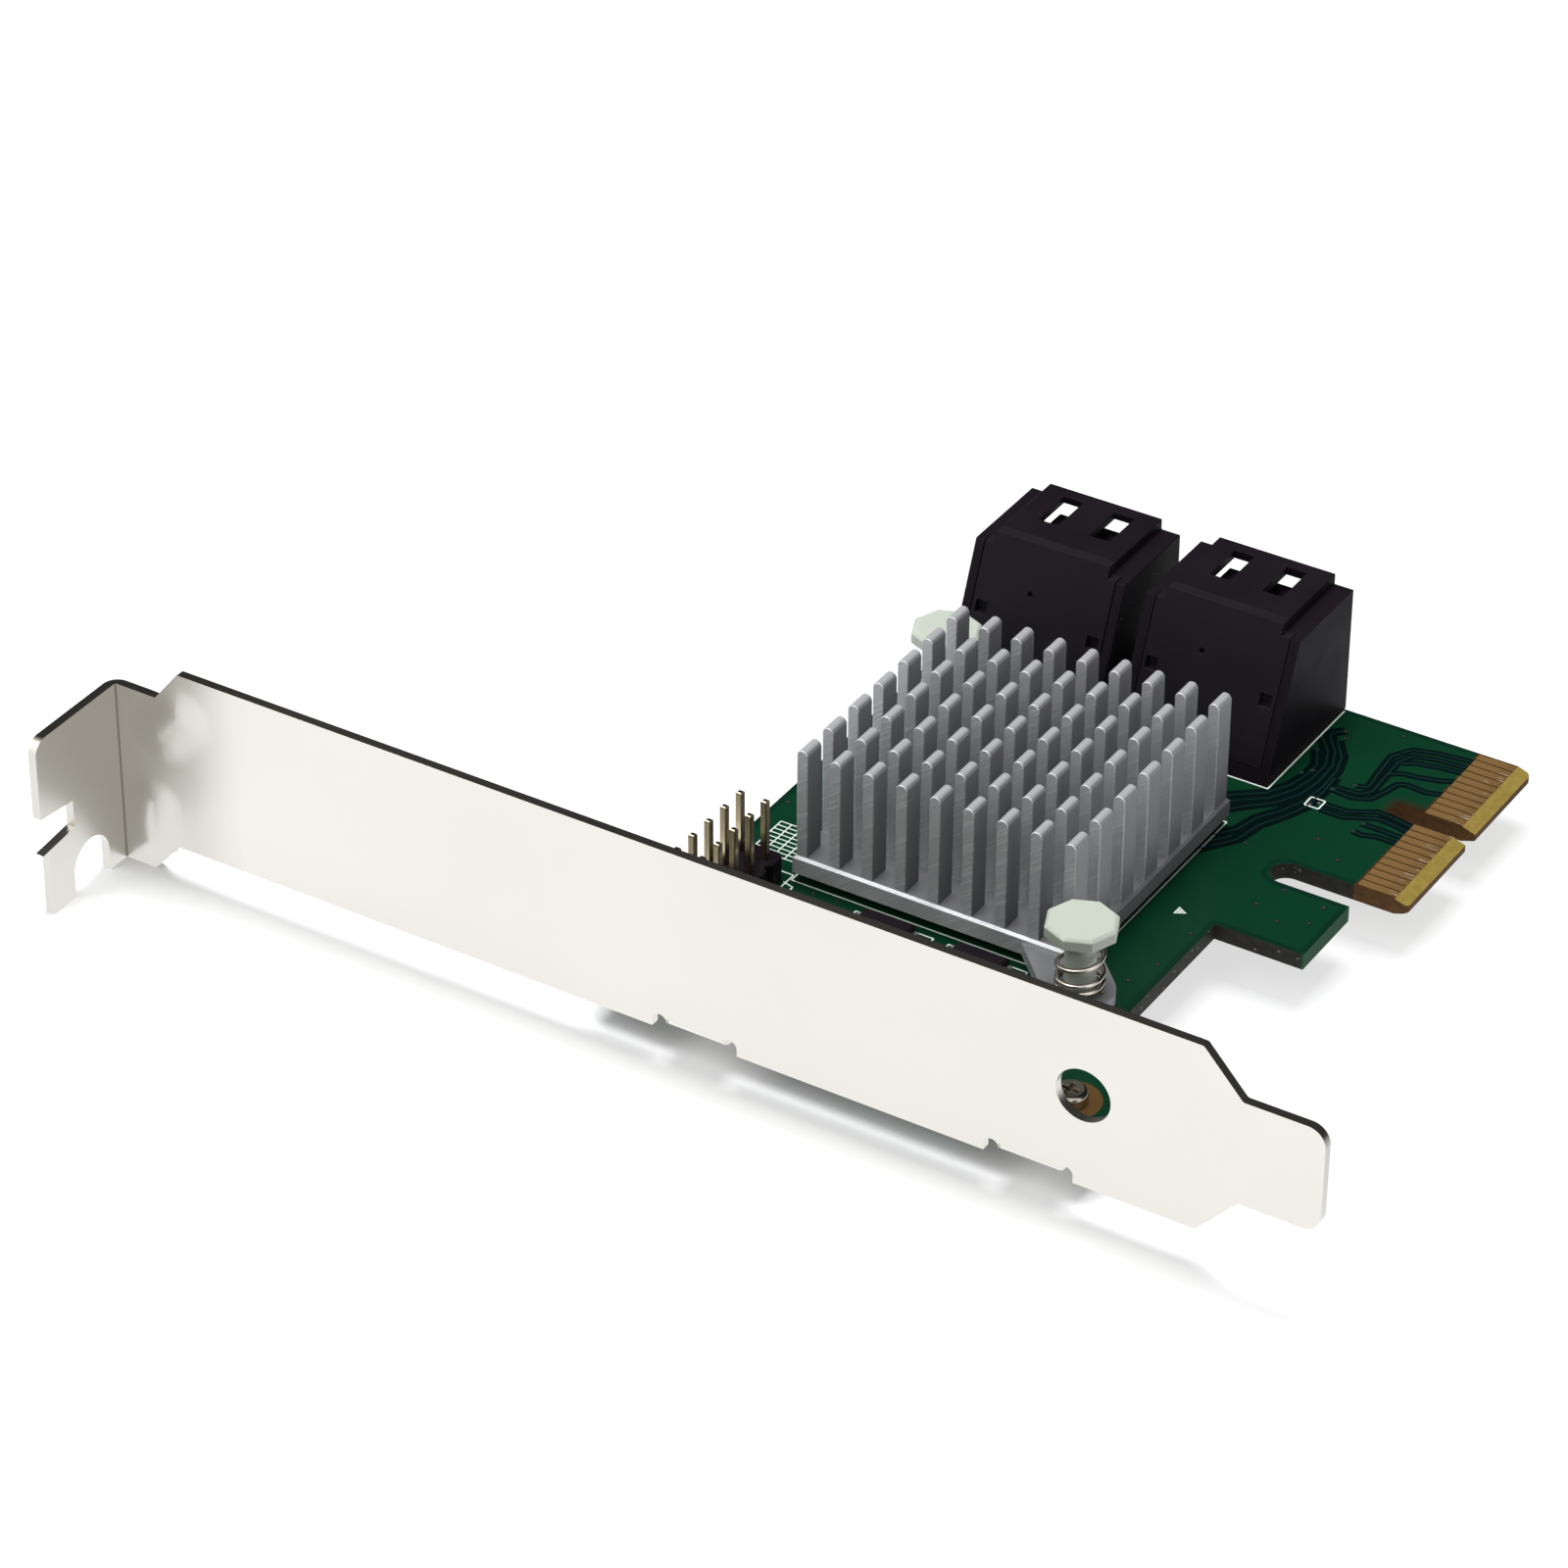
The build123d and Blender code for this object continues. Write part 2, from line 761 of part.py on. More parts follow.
def make_header():
    """Two-row pin header: moulded base of five joined blocks, and square pins."""
    with BuildPart() as base:
        with BuildSketch(level(board_top)):
            with Locations((header_x, header_y)):
                outline = Rectangle(header_column_count * header_pitch, header_row_count * header_pitch)
                chamfer(outline.vertices(), header_chamfer)
                with GridLocations(header_column_count * header_pitch, header_pitch, 2, header_row_count - 1):
                    notch = header_chamfer * 2**0.5
                    Rectangle(notch, notch, rotation=45, mode=Mode.SUBTRACT)
                with GridLocations(header_pitch, header_pitch, header_column_count, header_row_count):
                    Rectangle(header_pin, header_pin, mode=Mode.SUBTRACT)
        extrude(amount=header_base_height)
    write(base, "header_base")
    with BuildPart() as pins:
        with BuildSketch(level(board_bottom - tail_length)):
            with Locations((header_x, header_y)):
                with GridLocations(header_pitch, header_pitch, header_column_count, header_row_count):
                    Rectangle(header_pin, header_pin)
        extrude(amount=tail_length + board_thickness + header_pin_height)
        chamfer(pins.faces().group_by(Axis.Z)[-1].edges(), 2 * header_pin_tip, header_pin_tip)
    write(pins, "header_pins")


def make_regulator(place, name):
    """Moulded package and its bent leads."""
    foot_end = lead_span / 2
    foot_start = foot_end - lead_foot
    body_side = regulator_width / 2
    high = lead_level + lead_thickness
    lead_outline = (
        (foot_end, 0),
        (foot_end, lead_thickness),
        (foot_start + lead_thickness, lead_thickness),
        (foot_start - lead_rise + lead_thickness, high),
        (body_side, high),
        (body_side, lead_level),
        (foot_start - lead_rise, lead_level),
        (foot_start, 0),
    )
    with BuildPart() as body:
        with BuildSketch(level(board_top + regulator_stand)):
            with Locations((place, regulator_y)):
                Rectangle(regulator_width, regulator_length)
        extrude(amount=regulator_height)
        chamfer(body.faces().sort_by(Axis.Z)[-1].edges(), regulator_edge)
    write(body, f"regulator_{name}")
    with BuildPart() as leads:
        span = (leads_per_side - 1) * lead_pitch + lead_width
        for count in range(leads_per_side):
            near = regulator_y - span / 2 + count * lead_pitch
            for side in (-1, 1):
                with BuildSketch(upright(near)):
                    with BuildLine():
                        outline = [(place + side * x, board_top + z) for x, z in lead_outline]
                        Polyline(*outline, close=True)
                    make_face()
                extrude(amount=-lead_width)
    write(leads, f"regulator_leads_{name}")


make_bracket()
make_board()
make_edge_contacts()
make_controller()
make_heat_sink()
make_push_pins()
make_springs()
make_screws()
for start, name in zip(port_stack_x, ("left", "right")):
    make_port_housing(start, name)
    make_port_cover(start, name)
    make_port_contacts(start, name)
make_header()
for place, name in zip(regulator_x, ("left", "right")):
    make_regulator(place, name)
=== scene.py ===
# %% [markdown]
# # A drive controller card
# The card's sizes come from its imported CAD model, which is loaded first and never moved.
# This script adds what a camera sees beyond plain solids: rounded edges that catch light,
# real finishes, printed lines, copper tracks and solder. Every later cell adds one of them.

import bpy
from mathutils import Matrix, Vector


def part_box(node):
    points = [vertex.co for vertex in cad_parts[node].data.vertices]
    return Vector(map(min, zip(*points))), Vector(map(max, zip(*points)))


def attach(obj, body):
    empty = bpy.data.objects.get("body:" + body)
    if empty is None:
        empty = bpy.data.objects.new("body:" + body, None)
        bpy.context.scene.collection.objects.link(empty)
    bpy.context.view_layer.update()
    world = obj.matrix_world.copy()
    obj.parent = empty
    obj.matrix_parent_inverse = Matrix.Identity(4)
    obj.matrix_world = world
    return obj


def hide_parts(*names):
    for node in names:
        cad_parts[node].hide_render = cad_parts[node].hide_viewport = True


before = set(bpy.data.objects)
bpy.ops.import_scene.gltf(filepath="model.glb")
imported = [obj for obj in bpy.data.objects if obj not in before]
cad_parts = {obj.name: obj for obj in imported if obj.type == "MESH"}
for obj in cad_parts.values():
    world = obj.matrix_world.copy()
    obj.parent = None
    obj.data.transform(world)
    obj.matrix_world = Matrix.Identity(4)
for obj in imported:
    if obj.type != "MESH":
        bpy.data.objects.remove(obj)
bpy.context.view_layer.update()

# %% [markdown]
# The drawing of the card measures in millimetres from the bracket's tab, its outer face and its
# long lower edge. One helper turns such a place into a point of the frame in metres, so that
# every later cell can use the drawing's own numbers.

# %% Modules, units and the drawing's corner
import math
from types import SimpleNamespace

import bmesh
import bpy
from mathutils import Vector

MM = 0.001
TAB_DEPTH = 11.43
NECK_DROP = 3.2
SHEET = 0.86
BOARD_BOTTOM = 0.86
BOARD_TOP = 2.43
bracket_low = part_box("io_bracket")[0]


def spot(x, y, z=0.0):
    """A drawn place in millimetres as a point of the frame in metres."""
    corner_y = bracket_low[1] + TAB_DEPTH * MM
    corner_z = bracket_low[2] + NECK_DROP * MM
    return Vector((bracket_low[0] + x * MM, corner_y + y * MM, corner_z + z * MM))


print("drawing corner:", tuple(round(value, 5) for value in spot(0, 0, 0)))

# %% [markdown]
# Node trees take many lines when every link is written out. This small bench adds a node, sets
# its options, and fills each input with a value or with another node's output. It serves
# materials and geometry trees alike.

# %% A bench for node trees
class Bench:
    """Adds nodes to one tree and joins them."""

    def __init__(self, tree):
        self.tree = tree

    def link(self, value, socket):
        self.tree.links.new(value, socket)

    def add(self, kind, inputs=None, **options):
        node = self.tree.nodes.new(kind)
        for option, value in options.items():
            setattr(node, option, value)
        for key, value in (inputs or {}).items():
            if isinstance(value, bpy.types.NodeSocket):
                self.link(value, node.inputs[key])
            else:
                node.inputs[key].default_value = value
        return node

    def math(self, operation, first, second=0.0, third=0.0):
        return self.add("ShaderNodeMath", {0: first, 1: second, 2: third}, operation=operation).outputs[0]

    def times(self, first, second):
        return self.math("MULTIPLY", first, second)

    def most(self, first, second):
        return self.math("MAXIMUM", first, second)

    def vector(self, operation, first, second=(0.0, 0.0, 0.0)):
        node = self.add("ShaderNodeVectorMath", {0: first, 1: second}, operation=operation)
        return node.outputs["Value" if operation == "LENGTH" else "Vector"]

    def axes(self, vector):
        return self.add("ShaderNodeSeparateXYZ", {0: vector}).outputs

    def mix(self, share, first, second):
        """A colour part of the way from the first to the second."""
        return self.add("ShaderNodeMix", {0: share, 6: first, 7: second}, data_type="RGBA").outputs[2]

    def blend(self, share, first, second):
        """A number part of the way from the first to the second."""
        return self.add("ShaderNodeMix", {0: share, 2: first, 3: second}, data_type="FLOAT").outputs[0]

    def ramp(self, value, low, high, start, end):
        """A number that goes from start to end while the value goes from low to high."""
        return self.add("ShaderNodeMapRange", {0: value, 1: low, 2: high, 3: start, 4: end}).outputs[0]

    def noise(self, place, scale, detail):
        return self.add("ShaderNodeTexNoise", {"Vector": place, "Scale": scale, "Detail": detail}).outputs[0]


SOCKETS = {int: "Int", float: "Float", tuple: "Vector"}


def new_tree(name, kind, inputs, outputs):
    """A node group's bench and its ends. An input is given by a starting value, or by a socket's kind."""
    tree = bpy.data.node_groups.new(name, kind)
    for label, start in inputs.items():
        socket = start if isinstance(start, str) else SOCKETS[type(start)]
        made = tree.interface.new_socket(label, in_out="INPUT", socket_type="NodeSocket" + socket)
        if not isinstance(start, str):
            made.default_value = start
    for label, socket in outputs.items():
        tree.interface.new_socket(label, in_out="OUTPUT", socket_type="NodeSocket" + socket)
    bench = Bench(tree)
    return bench, bench.add("NodeGroupInput").outputs, bench.add("NodeGroupOutput").inputs


print("node bench ready")

# %% [markdown]
# Nothing real is evenly coloured. This shader group gives three patterns that most of the
# finishes share: a fine grain for bump, a slow cloud for colour and gloss, and fine streaks
# that can be stretched along one direction, as tool marks are.

# %% Shader group: surface grain
def make_grain_group():
    """Grain, cloud and streaks from a place on the surface."""
    bench, get, give = new_tree(
        "surface_grain", "ShaderNodeTree",
        {"Place": "Vector", "Grain Scale": 6000.0, "Cloud Scale": 90.0, "Stretch": (1.0, 1.0, 1.0)},
        {"Grain": "Float", "Cloud": "Float", "Streaks": "Float"})
    stretched = bench.vector("MULTIPLY", get["Place"], get["Stretch"])
    bench.link(bench.noise(get["Place"], get["Grain Scale"], 3.0), give["Grain"])
    bench.link(bench.noise(get["Place"], get["Cloud Scale"], 4.0), give["Cloud"])
    bench.link(bench.noise(stretched, get["Grain Scale"], 2.0), give["Streaks"])
    return bench.tree


GRAIN_GROUP = make_grain_group()
print("shader group:", GRAIN_GROUP.name)

# %% [markdown]
# The second group scatters small specks: dust on black plastic, or chips in laminate. It keeps
# a share of the cells of a Voronoi pattern, and in each of those a round spot.

# %% Shader group: specks
def make_speck_group():
    """Small scattered specks as a mask."""
    bench, get, give = new_tree(
        "specks", "ShaderNodeTree",
        {"Place": "Vector", "Spacing Scale": 700.0, "Size": 0.12, "Share": 0.1}, {"Mask": "Float"})
    cells = bench.add("ShaderNodeTexVoronoi", {"Vector": get["Place"], "Scale": get["Spacing Scale"]}).outputs
    near = bench.math("LESS_THAN", cells["Distance"], get["Size"])
    chance = bench.add("ShaderNodeSeparateColor", {0: cells["Color"]}).outputs[0]
    bench.link(bench.times(near, bench.math("LESS_THAN", chance, get["Share"])), give["Mask"])
    return bench.tree


SPECK_GROUP = make_speck_group()


def specks(bench, place, spacing, size, share):
    """The mask of specks with a given spacing, size and share."""
    inputs = {"Place": place, "Spacing Scale": spacing, "Size": size, "Share": share}
    return bench.add("ShaderNodeGroup", inputs, node_tree=SPECK_GROUP).outputs["Mask"]


print("shader group:", SPECK_GROUP.name)

# %% [markdown]
# A finish here is two close colours mixed by the cloud, a roughness that wanders a little, and
# a bump from the grain or the streaks. Keeping this in one function makes each finish a few
# numbers, and the special ones can add to it afterwards.

# %% A finish from grain and cloud
def colour(red, green, blue):
    """A colour as a node socket takes it."""
    return (red, green, blue, 1.0)


def blank_material(name):
    """A material without nodes, and its bench."""
    material = bpy.data.materials.new(name)
    material.use_nodes = True
    material.node_tree.nodes.clear()
    return material, Bench(material.node_tree)


def new_finish(name, first, second, roughness, spread=0.08, metallic=0.0, grain=6000.0, cloud=90.0,
               bump=0.2, depth=0.02, stretch=None, shine=0.5):
    """A material whose colour, gloss and bump vary over the surface, and its parts for later additions."""
    material, bench = blank_material(name)
    where = bench.add("ShaderNodeTexCoord").outputs
    group = bench.add(
        "ShaderNodeGroup",
        {"Place": where["Object"], "Grain Scale": grain, "Cloud Scale": cloud, "Stretch": stretch or (1.0, 1.0, 1.0)},
        node_tree=GRAIN_GROUP).outputs
    tone = bench.mix(group["Cloud"], colour(*first), colour(*second))
    gloss = bench.ramp(group["Cloud"], 0.3, 0.7, roughness - spread, roughness + spread)
    relief = group["Streaks" if stretch else "Grain"]
    dent = bench.add("ShaderNodeBump", {"Strength": bump, "Distance": depth * MM, "Height": relief})
    shader = bench.add(
        "ShaderNodeBsdfPrincipled",
        {"Base Color": tone, "Roughness": gloss, "Normal": dent.outputs[0], "Metallic": metallic,
         "Specular IOR Level": shine})
    bench.add("ShaderNodeOutputMaterial", {"Surface": shader.outputs[0]})
    return material, SimpleNamespace(bench=bench, place=where["Object"], facing=where["Normal"], cloud=group["Cloud"],
                                     tone=tone, gloss=gloss, shader=shader.inputs)


nickel, nickel_parts = new_finish("satin_nickel", (0.530, 0.510, 0.460), (0.505, 0.484, 0.434), 0.32, 0.03, 1.0,
                                  grain=9000.0, cloud=40.0, bump=0.3, depth=0.01)
bright_steel, _ = new_finish("bright_steel", (0.52, 0.480, 0.42), (0.42, 0.380, 0.33), 0.18, 0.05, 1.0,
                             grain=8000.0, cloud=300.0, bump=0.12, depth=0.01)
pin_gold, _ = new_finish("pale_gold_pins", (0.52, 0.45, 0.31), (0.38, 0.32, 0.21), 0.22, 0.06, 1.0,
                         grain=3000.0, cloud=500.0, depth=0.01, stretch=(1.0, 1.0, 0.06))
tin, _ = new_finish("matt_tin", (0.50, 0.50, 0.49), (0.40, 0.40, 0.39), 0.36, 0.08, 1.0,
                    grain=5000.0, cloud=700.0, bump=0.3)
black_plastic, black_parts = new_finish("black_connector_plastic", (0.0060, 0.0042, 0.0062), (0.0090, 0.0068, 0.0095),
                                        0.48, grain=7000.0, cloud=160.0, bump=0.35, shine=0.04)
cover_plastic, cover_parts = new_finish("black_cover_plastic", (0.0075, 0.0065, 0.0085), (0.0115, 0.0100, 0.0130),
                                        0.52, grain=5200.0, cloud=200.0, bump=0.6, depth=0.03, shine=0.04)
chip_plastic, _ = new_finish("chip_moulding", (0.006, 0.004, 0.006), (0.011, 0.008, 0.010), 0.5,
                             grain=9000.0, cloud=400.0, bump=0.5, shine=0.04)
pad_grey, _ = new_finish("thermal_pad_grey", (0.42, 0.43, 0.43), (0.34, 0.35, 0.36), 0.75, 0.06,
                         grain=4000.0, cloud=500.0, bump=0.4, depth=0.03)
ink_white, _ = new_finish("white_ink", (0.62, 0.66, 0.62), (0.46, 0.54, 0.48), 0.5,
                          grain=9000.0, cloud=1500.0, depth=0.01)
bare_ring, _ = new_finish("bare_ring", (0.090, 0.050, 0.014), (0.060, 0.030, 0.008), 0.45, 0.1,
                          grain=7000.0, cloud=600.0, bump=0.3, shine=0.3)
print("plain finishes:", len(bpy.data.materials))

# %% [markdown]
# Where the bracket's tab is bent out, a thin line of painted shade runs down the inner corner of the fold, and the
# metal beside it gets a little painted shade too. The finish finds both by their distance from the corner line.

# %% Painted shade in the bracket's fold
FOLD_LINE = 0.16
NECK_SHADE_FULL_TO, NECK_SHADE_GONE_AT = 9, 14


def paint_fold_shade(parts):
    """Paint shade into a finish along the line where the tab meets the plate, and slightly over the neck."""
    bench = parts.bench
    fold = spot(SHEET, 0)
    from_fold = bench.vector("SUBTRACT", parts.place, (fold.x, fold.y, 0.0))
    far = bench.vector("LENGTH", bench.vector("MULTIPLY", from_fold, (1.0, 1.0, 0.0)))
    # Painted shade: a thin dark line down the inner corner of the fold
    line = bench.ramp(far, 0.0, FOLD_LINE * MM, 0.55, 0.0)
    shaded_tone = bench.mix(line, parts.tone, colour(0.12, 0.10, 0.08))
    # Painted shade: the tab and neck a little darker, fading out along the plate
    neck_shade = bench.ramp(bench.axes(parts.place)["X"], spot(NECK_SHADE_FULL_TO, 0).x, spot(NECK_SHADE_GONE_AT, 0).x, 0.17, 0.0)
    bench.link(bench.mix(neck_shade, shaded_tone, colour(0.0, 0.0, 0.0)), parts.shader["Base Color"])


paint_fold_shade(nickel_parts)
print("fold line added to", nickel.name)

# %% [markdown]
# Black plastic straight from its box carries a little pale dust. The speck group lightens a
# few spots of the colour. It is placed in both black plastics with its own spacing in each.

# %% Dust on the black plastics
def add_dust(parts, spacing, size, share, dust):
    """Lay pale specks over a finish's colour."""
    mask = specks(parts.bench, parts.place, spacing, size, share)
    parts.bench.link(parts.bench.mix(mask, parts.tone, dust), parts.shader["Base Color"])


add_dust(black_parts, 900.0, 0.09, 0.05, colour(0.16, 0.14, 0.15))
add_dust(cover_parts, 1100.0, 0.08, 0.03, colour(0.12, 0.11, 0.12))
print("dust added to", black_plastic.name, "and", cover_plastic.name)

# %% [markdown]
# The push pins are moulded in milky nylon: light goes a little way in and comes out softened.
# Subsurface scattering does that, and a middling roughness keeps a dull moulded sheen.

# %% Milky nylon
nylon, nylon_parts = new_finish("milky_nylon", (0.375, 0.405, 0.355), (0.335, 0.370, 0.315), 0.42, 0.06,
                                grain=2600.0, cloud=300.0, bump=0.25, depth=0.03)
nylon_parts.shader["Subsurface Weight"].default_value = 0.35
nylon_parts.shader["Subsurface Radius"].default_value = (1.0, 1.0, 0.8)
nylon_parts.shader["Subsurface Scale"].default_value = 0.0015
print("nylon made")

# %% [markdown]
# The heat sink is extruded along its fins and then sawn across, so the sawn faces carry slanting cutter marks. Light
# and shade are painted into its colour by which way a face points: painted light on the sawn faces and the pin tops,
# and painted shade on the broad sides of the pins, deepening towards the base, and on the base between the pins.

# %% Sawn aluminium with painted light and shade
SINK_BASE_TOP = 5.23
SHADED_HEIGHT = 9
MARK_SLANT = math.radians(38)
MOSTLY = 0.7


def make_sink_metal():
    """Grey aluminium with slanting saw marks on the faces that point along the fins, and light and shade painted by
    which way a face points.
    """
    material, parts = new_finish("sawn_aluminium", (0.440, 0.445, 0.460), (0.380, 0.385, 0.400), 0.50, 0.06, 0.5,
                                 grain=5000.0, cloud=160.0, bump=0.3)
    bench = parts.bench
    facing = bench.axes(parts.facing)
    sawn = bench.math("GREATER_THAN", bench.math("ABSOLUTE", facing["Y"]), MOSTLY)
    broad = bench.math("GREATER_THAN", bench.math("ABSOLUTE", facing["X"]), MOSTLY)
    upward = bench.math("GREATER_THAN", facing["Z"], 0.9)
    slanted = bench.add("ShaderNodeMapping", {"Vector": parts.place, "Rotation": (0.0, MARK_SLANT, 0.0)}).outputs[0]
    lines = bench.noise(bench.vector("MULTIPLY", slanted, (0.25, 1.0, 6.0)), 900.0, 3.0)
    on_sawn = bench.times(bench.ramp(lines, 0.52, 0.66, 0.0, 1.0), sawn)
    height = bench.axes(parts.place)["Z"]
    base_top = spot(0, 0, SINK_BASE_TOP).z
    # Painted shade: the broad sides of the pins darker towards the base
    depth = bench.ramp(height, base_top, base_top + SHADED_HEIGHT * MM, 0.75, 0.0)
    low_top = bench.times(upward, bench.math("LESS_THAN", height, base_top + 0.1 * MM))
    # Painted shade: the broad sides of the pins darker, and the base top between the pins darker still
    shade = bench.most(bench.times(broad, 0.42), bench.times(low_top, 0.6))
    pin_painted_shade = bench.most(shade, bench.times(broad, depth))
    shaded_tone = bench.mix(pin_painted_shade, parts.tone, colour(0.085, 0.085, 0.095))
    # Painted light: the sawn faces and the pin tops lighter
    pale = bench.times(bench.most(sawn, bench.math("SUBTRACT", upward, low_top)), 0.25)
    painted_lit_tone = bench.mix(pale, shaded_tone, colour(0.52, 0.525, 0.54))
    marked = bench.mix(bench.times(on_sawn, 0.3), painted_lit_tone, colour(0.68, 0.68, 0.69))
    bench.link(marked, parts.shader["Base Color"])
    dent = bench.add("ShaderNodeBump", {"Strength": 0.5, "Distance": 0.03 * MM, "Height": on_sawn})
    bench.link(dent.outputs[0], parts.shader["Normal"])
    return material


sink_metal = make_sink_metal()
print("heat sink metal made")

# %% [markdown]
# The board is one solid with several skins: green mask on its faces, dark routed edges, brown
# bare laminate under the edge contacts and an olive bevel. All of them depend on the place on
# the board, so one material reads the object's coordinates and picks the skin there.

# %% Circuit board skins
CONNECTOR_NEAR = 46.5
KEY_Y = 59.05
LUG_END = 99.9
MASK_END = 98.75
BURN_REACH, BURN_FULL = 2.3, 1.0
BURN_START, BURN_END = 95.3, 96.6
EDGE_TILT, FACE_TILT = 0.5, 0.995


def make_board_skin():
    """Solder mask, routed edge, contact bed and bevel in one material."""
    material, parts = new_finish("board_skin", (0.0016, 0.0285, 0.0120), (0.0024, 0.0215, 0.0098), 0.34, 0.06,
                                 grain=3500.0, cloud=220.0, bump=0.15, depth=0.01, shine=0.1)
    bench = parts.bench
    from_corner = bench.vector("SUBTRACT", parts.place, tuple(spot(0, 0, 0)))
    axes = bench.axes(bench.vector("MULTIPLY", from_corner, (1 / MM, 1 / MM, 1 / MM)))
    upward = bench.math("ABSOLUTE", bench.axes(parts.facing)["Z"])
    on_edge = bench.math("LESS_THAN", upward, EDGE_TILT)
    tilted = bench.math("GREATER_THAN", upward, EDGE_TILT)
    on_bevel = bench.times(tilted, bench.math("LESS_THAN", upward, FACE_TILT))
    ragged = bench.math("MULTIPLY_ADD", parts.cloud, 0.5, MASK_END)
    past_mask = bench.math("GREATER_THAN", axes["X"], ragged)
    on_bed = bench.times(past_mask, bench.math("GREATER_THAN", axes["Y"], CONNECTOR_NEAR))
    fibre = bench.noise(parts.place, 1800.0, 5.0)
    bed = bench.mix(fibre, colour(0.016, 0.006, 0.003), colour(0.060, 0.028, 0.008))
    routed = bench.mix(fibre, colour(0.004, 0.004, 0.003), colour(0.030, 0.028, 0.022))
    chips = specks(bench, parts.place, 2200.0, 0.32, 0.16)
    edge_green = bench.mix(chips, routed, colour(0.13, 0.125, 0.11))
    edge_bed = bench.mix(fibre, colour(0.035, 0.013, 0.005), colour(0.11, 0.055, 0.018))
    olive = bench.mix(fibre, colour(0.12, 0.080, 0.015), colour(0.25, 0.190, 0.045))
    from_key = bench.math("ABSOLUTE", bench.math("SUBTRACT", axes["Y"], KEY_Y))
    by_key = bench.ramp(from_key, BURN_REACH, BURN_FULL, 0.0, 1.0)
    burnt = bench.times(by_key, bench.ramp(axes["X"], BURN_START, BURN_END, 0.0, 1.0))
    stained = bench.mix(bench.times(burnt, 0.9), parts.tone, colour(0.022, 0.008, 0.004))
    near_key = bench.most(on_bed, bench.math("GREATER_THAN", burnt, 0.3))
    lit_green = bench.mix(fibre, colour(0.004, 0.030, 0.012), colour(0.012, 0.070, 0.030))
    lug_edge = bench.mix(bench.math("GREATER_THAN", axes["X"], LUG_END), edge_green, lit_green)
    sided = bench.mix(on_edge, bench.mix(on_bed, stained, bed), bench.mix(near_key, lug_edge, edge_bed))
    bench.link(bench.mix(on_bevel, sided, olive), parts.shader["Base Color"])
    unmasked = bench.most(on_edge, bench.most(on_bevel, on_bed))
    bench.link(bench.blend(unmasked, parts.gloss, 0.62), parts.shader["Roughness"])
    return material


board_skin = make_board_skin()
UNDER_MASK = {"grain": 3500.0, "cloud": 500.0, "bump": 0.15, "depth": 0.01, "shine": 0.1}
clearing, _ = new_finish("dark_clearing", (0.0007, 0.0032, 0.0034), (0.0010, 0.0050, 0.0048), 0.34, 0.05,
                         **UNDER_MASK)
margin_dark, _ = new_finish("dark_margin", (0.0016, 0.0150, 0.0080), (0.0020, 0.0200, 0.0100), 0.34, 0.05,
                            **UNDER_MASK)
track, _ = new_finish("masked_track", (0.0036, 0.0200, 0.0170), (0.0046, 0.0160, 0.0140), 0.3, 0.05,
                      **UNDER_MASK)
hole_dark, _ = new_finish("hole_dark", (0.02, 0.012, 0.008), (0.05, 0.03, 0.02), 0.6, 0.05,
                          grain=3500.0, cloud=900.0, depth=0.01)
print("board skins made")

# %% [markdown]
# The edge contacts are gold over nickel, dull and brownish from handling, with bright scratches
# across the ends where they have been pushed into a slot. The scratches are streaked noise that
# only shows near the bevel.

# %% Worn contact gold
SCRATCHED_FROM, SCRATCHED_FULLY = 101.2, 102.6


def make_contact_gold():
    """Dull gold, scratched towards the board's edge."""
    material, parts = new_finish("worn_gold", (0.27, 0.160, 0.058), (0.20, 0.115, 0.040), 0.42, 0.08, 0.5,
                                 grain=4000.0, cloud=500.0, depth=0.01)
    bench = parts.bench
    start, full = spot(SCRATCHED_FROM, 0).x, spot(SCRATCHED_FULLY, 0).x
    near_end = bench.ramp(bench.axes(parts.place)["X"], start, full, 0.0, 1.0)
    scratches = bench.noise(bench.vector("MULTIPLY", parts.place, (1.0, 7.0, 1.0)), 800.0, 6.0)
    worn = bench.times(bench.ramp(scratches, 0.60, 0.70, 0.0, 0.8), near_end)
    stained = bench.mix(bench.times(near_end, 0.5), parts.tone, colour(0.16, 0.085, 0.028))
    bench.link(bench.mix(worn, stained, colour(0.62, 0.56, 0.47)), parts.shader["Base Color"])
    return material


contact_gold = make_contact_gold()
print("contact gold made")

# %% [markdown]
# A CAD solid has perfectly sharp edges, which look false because nothing catches the light.
# Where a node's shape is right and only its edges are too sharp, the cleanest way is a copy:
# its loose triangles are merged, flat areas are dissolved, a Bevel modifier rounds the edges,
# and the copy then stands for the node. Shading follows the larger faces, so that flat metal
# looks flat right up to its rounded edge.

# %% Rounded copies of CAD nodes
SHARP_FROM = math.radians(30)
FLAT_WITHIN = math.radians(0.5)
TOUCHING = 0.0005 * MM
COSINE_OF_60 = 0.5


def stand(name, mesh):
    """A new object in the scene that holds a mesh."""
    piece = bpy.data.objects.new(name, mesh)
    bpy.context.scene.collection.objects.link(piece)
    return piece


def settle(piece, material):
    """Keep the evaluated mesh, drop the modifiers and give it its finish."""
    state = bpy.context.evaluated_depsgraph_get()
    mesh = bpy.data.meshes.new_from_object(piece.evaluated_get(state))
    piece.modifiers.clear()
    piece.data = mesh
    mesh.materials.clear()
    mesh.materials.append(material)


